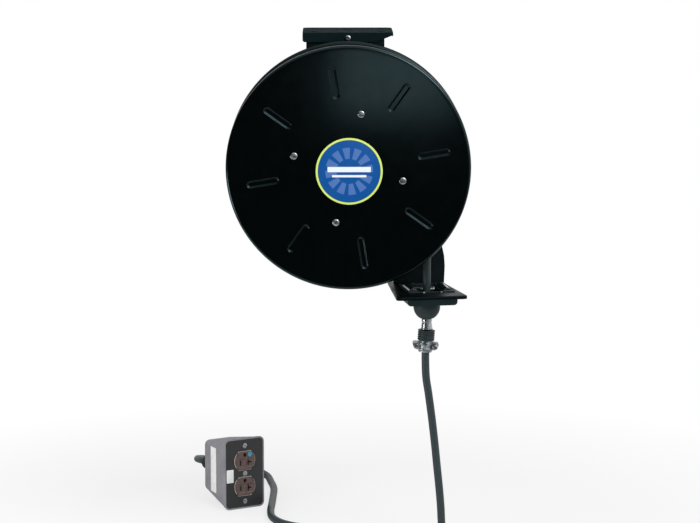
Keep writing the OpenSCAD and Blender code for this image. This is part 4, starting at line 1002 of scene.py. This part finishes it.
def stickers():
    """Blank stickers as thin rounded slabs: a small one on the cover and a tall one on the box's left
    side, plus a round blue one on the upper outlet."""
    pts, faces = bar(rounded_box(11.5 * MM, 19.5 * MM, 0.8 * MM), 0.02 * MM, 0.22 * MM, 0.08 * MM)
    piece("cover_sticker", at_box(pts + np.array([-24.25, -2.25, 0]) * MM), faces, "frame", PALE,
          ["box_tags"])
    pts, faces = bar(rounded_box(20.6 * MM, 67.6 * MM, 1 * MM), 0.02 * MM, 0.3 * MM, 0.1 * MM)
    lean = math.atan((BOX_W - BOX_BACK_W) / 2 / BOX_D)
    along, out = pts[..., 0] - 44.5 * MM, -pts[..., 2] - 0.02 * MM
    x = -BOX_W / 2 + 0.45 * MM + out * math.cos(lean) - along * math.sin(lean)
    z = out * math.sin(lean) + along * math.cos(lean)
    pts = at_box(np.stack([x, pts[..., 1], z], -1))
    piece("side_sticker", pts, faces, "frame", PALE, ["box_tags"])
    section = [(0, 0.24), (2.8, 0.24), (3.4, 0.2), (3.6, 0.05), (3.6, 0), (0, 0)]
    pts, faces = turned(np.array(section) * MM, 64, loop=False)
    piece("blue_dot", at_box(pts + np.array([8.6, 28.25, 1.2]) * MM), faces, "frame", BLUE_DOT,
          ["box_tags"])


stickers()


def stage_floor():
    """A pale round floor that keeps the shadow near the object and fades to white further out."""
    pts, faces = turned([(0, FLOOR_Z), (0.4, FLOOR_Z), (0.7, FLOOR_Z), (0.95, FLOOR_Z)], 96, loop=False)
    mesh = bpy.data.meshes.new("floor")
    mesh.from_pydata(pts.reshape(-1, 3).tolist(), [], faces.tolist())
    floor = bpy.data.objects.new("floor", mesh)
    bpy.context.scene.collection.objects.link(floor)
    f = Finish("pale_floor", (0.8, 0.8, 0.8), 0.9, specular=0.0)
    reach = f.node("ShaderNodeVectorMath", {0: f.mapped((1, 1, 0))}, operation="LENGTH").outputs["Value"]
    fade = f.ramp(reach, 0.4, 0.9, 0.72, 1.0)
    direct = f.node("ShaderNodeLightPath").outputs["Is Camera Ray"]
    glow = f.node("ShaderNodeEmission", {"Color": (1, 1, 1, 1)})
    mix = f.node("ShaderNodeMixShader", {0: f.math("MULTIPLY", fade, direct), 1: f.shader.outputs[0],
                                         2: glow.outputs[0]})
    f.tree.links.new(mix.outputs[0], f.tree.nodes["Material Output"].inputs["Surface"])
    mesh.materials.append(f.material)


def lamp(name, where, aim, wide, high, power):
    """A soft panel lamp, unseen by the camera, that faces a point."""
    data = bpy.data.lights.new(name, "AREA")
    data.shape = "RECTANGLE"
    data.size, data.size_y, data.energy = wide, high, power
    obj = bpy.data.objects.new(name, data)
    way = np.asarray(aim, float) - np.asarray(where, float)
    obj.location = where
    obj.rotation_euler = (math.atan2(math.hypot(way[0], way[1]), -way[2]), 0, math.atan2(-way[0], way[1]))
    obj.visible_camera = False
    bpy.context.scene.collection.objects.link(obj)


def light_scene():
    """Soft studio light: a white room whose lower left front is dark, a broad key panel high on the right, a
    fill beside the box and a near panel that the upper right of the front disc mirrors."""
    world = bpy.data.worlds.new("studio")
    bpy.context.scene.world = world
    world.use_nodes = True
    tree = world.node_tree

    def node(kind, inputs=None, **settings):
        return add_node(tree, kind, inputs, **settings).outputs

    def larger(a, b):
        return node("ShaderNodeMath", {0: a, 1: b}, operation="MAXIMUM")[0]

    way = node("ShaderNodeTexCoord")["Generated"]
    lit = node("ShaderNodeVectorMath", {0: way, 1: (0.55, 0.1, 0.83)}, operation="DOT_PRODUCT")["Value"]
    lit = node("ShaderNodeMapRange", {0: lit, "From Min": -0.05, "From Max": 0.5, "To Min": 0.015})[0]
    rear = node("ShaderNodeSeparateXYZ", {0: way})[1]
    rear = node("ShaderNodeMapRange", {0: rear, "From Min": 0.3, "From Max": 0.8})[0]
    path = node("ShaderNodeLightPath")
    mirrored = larger(path["Is Glossy Ray"], path["Is Transmission Ray"])
    level = node("ShaderNodeMix", {0: mirrored, 2: 0.6, 3: larger(lit, rear)})[0]
    level = node("ShaderNodeMix", {0: path["Is Camera Ray"], 2: level, 3: 1.0})[0]
    back = tree.nodes["Background"]
    back.inputs["Color"].default_value = (1, 1, 1, 1)
    tree.links.new(level, back.inputs["Strength"])
    lamp("key", (0.9, -1.2, 0.9), (0, DRUM_Y, -0.2), 0.9, 0.9, 20)
    lamp("box_fill", (-0.75, -0.5, -0.45), BOX_AT, 0.3, 0.3, 2.6)
    lamp("disc_panel", (0.077, -0.7, -0.0925), (0.077, 0, -0.0925), 0.18, 0.125, 0.095)


stage_floor()
light_scene()
bpy.context.scene.view_settings.view_transform = "Standard"
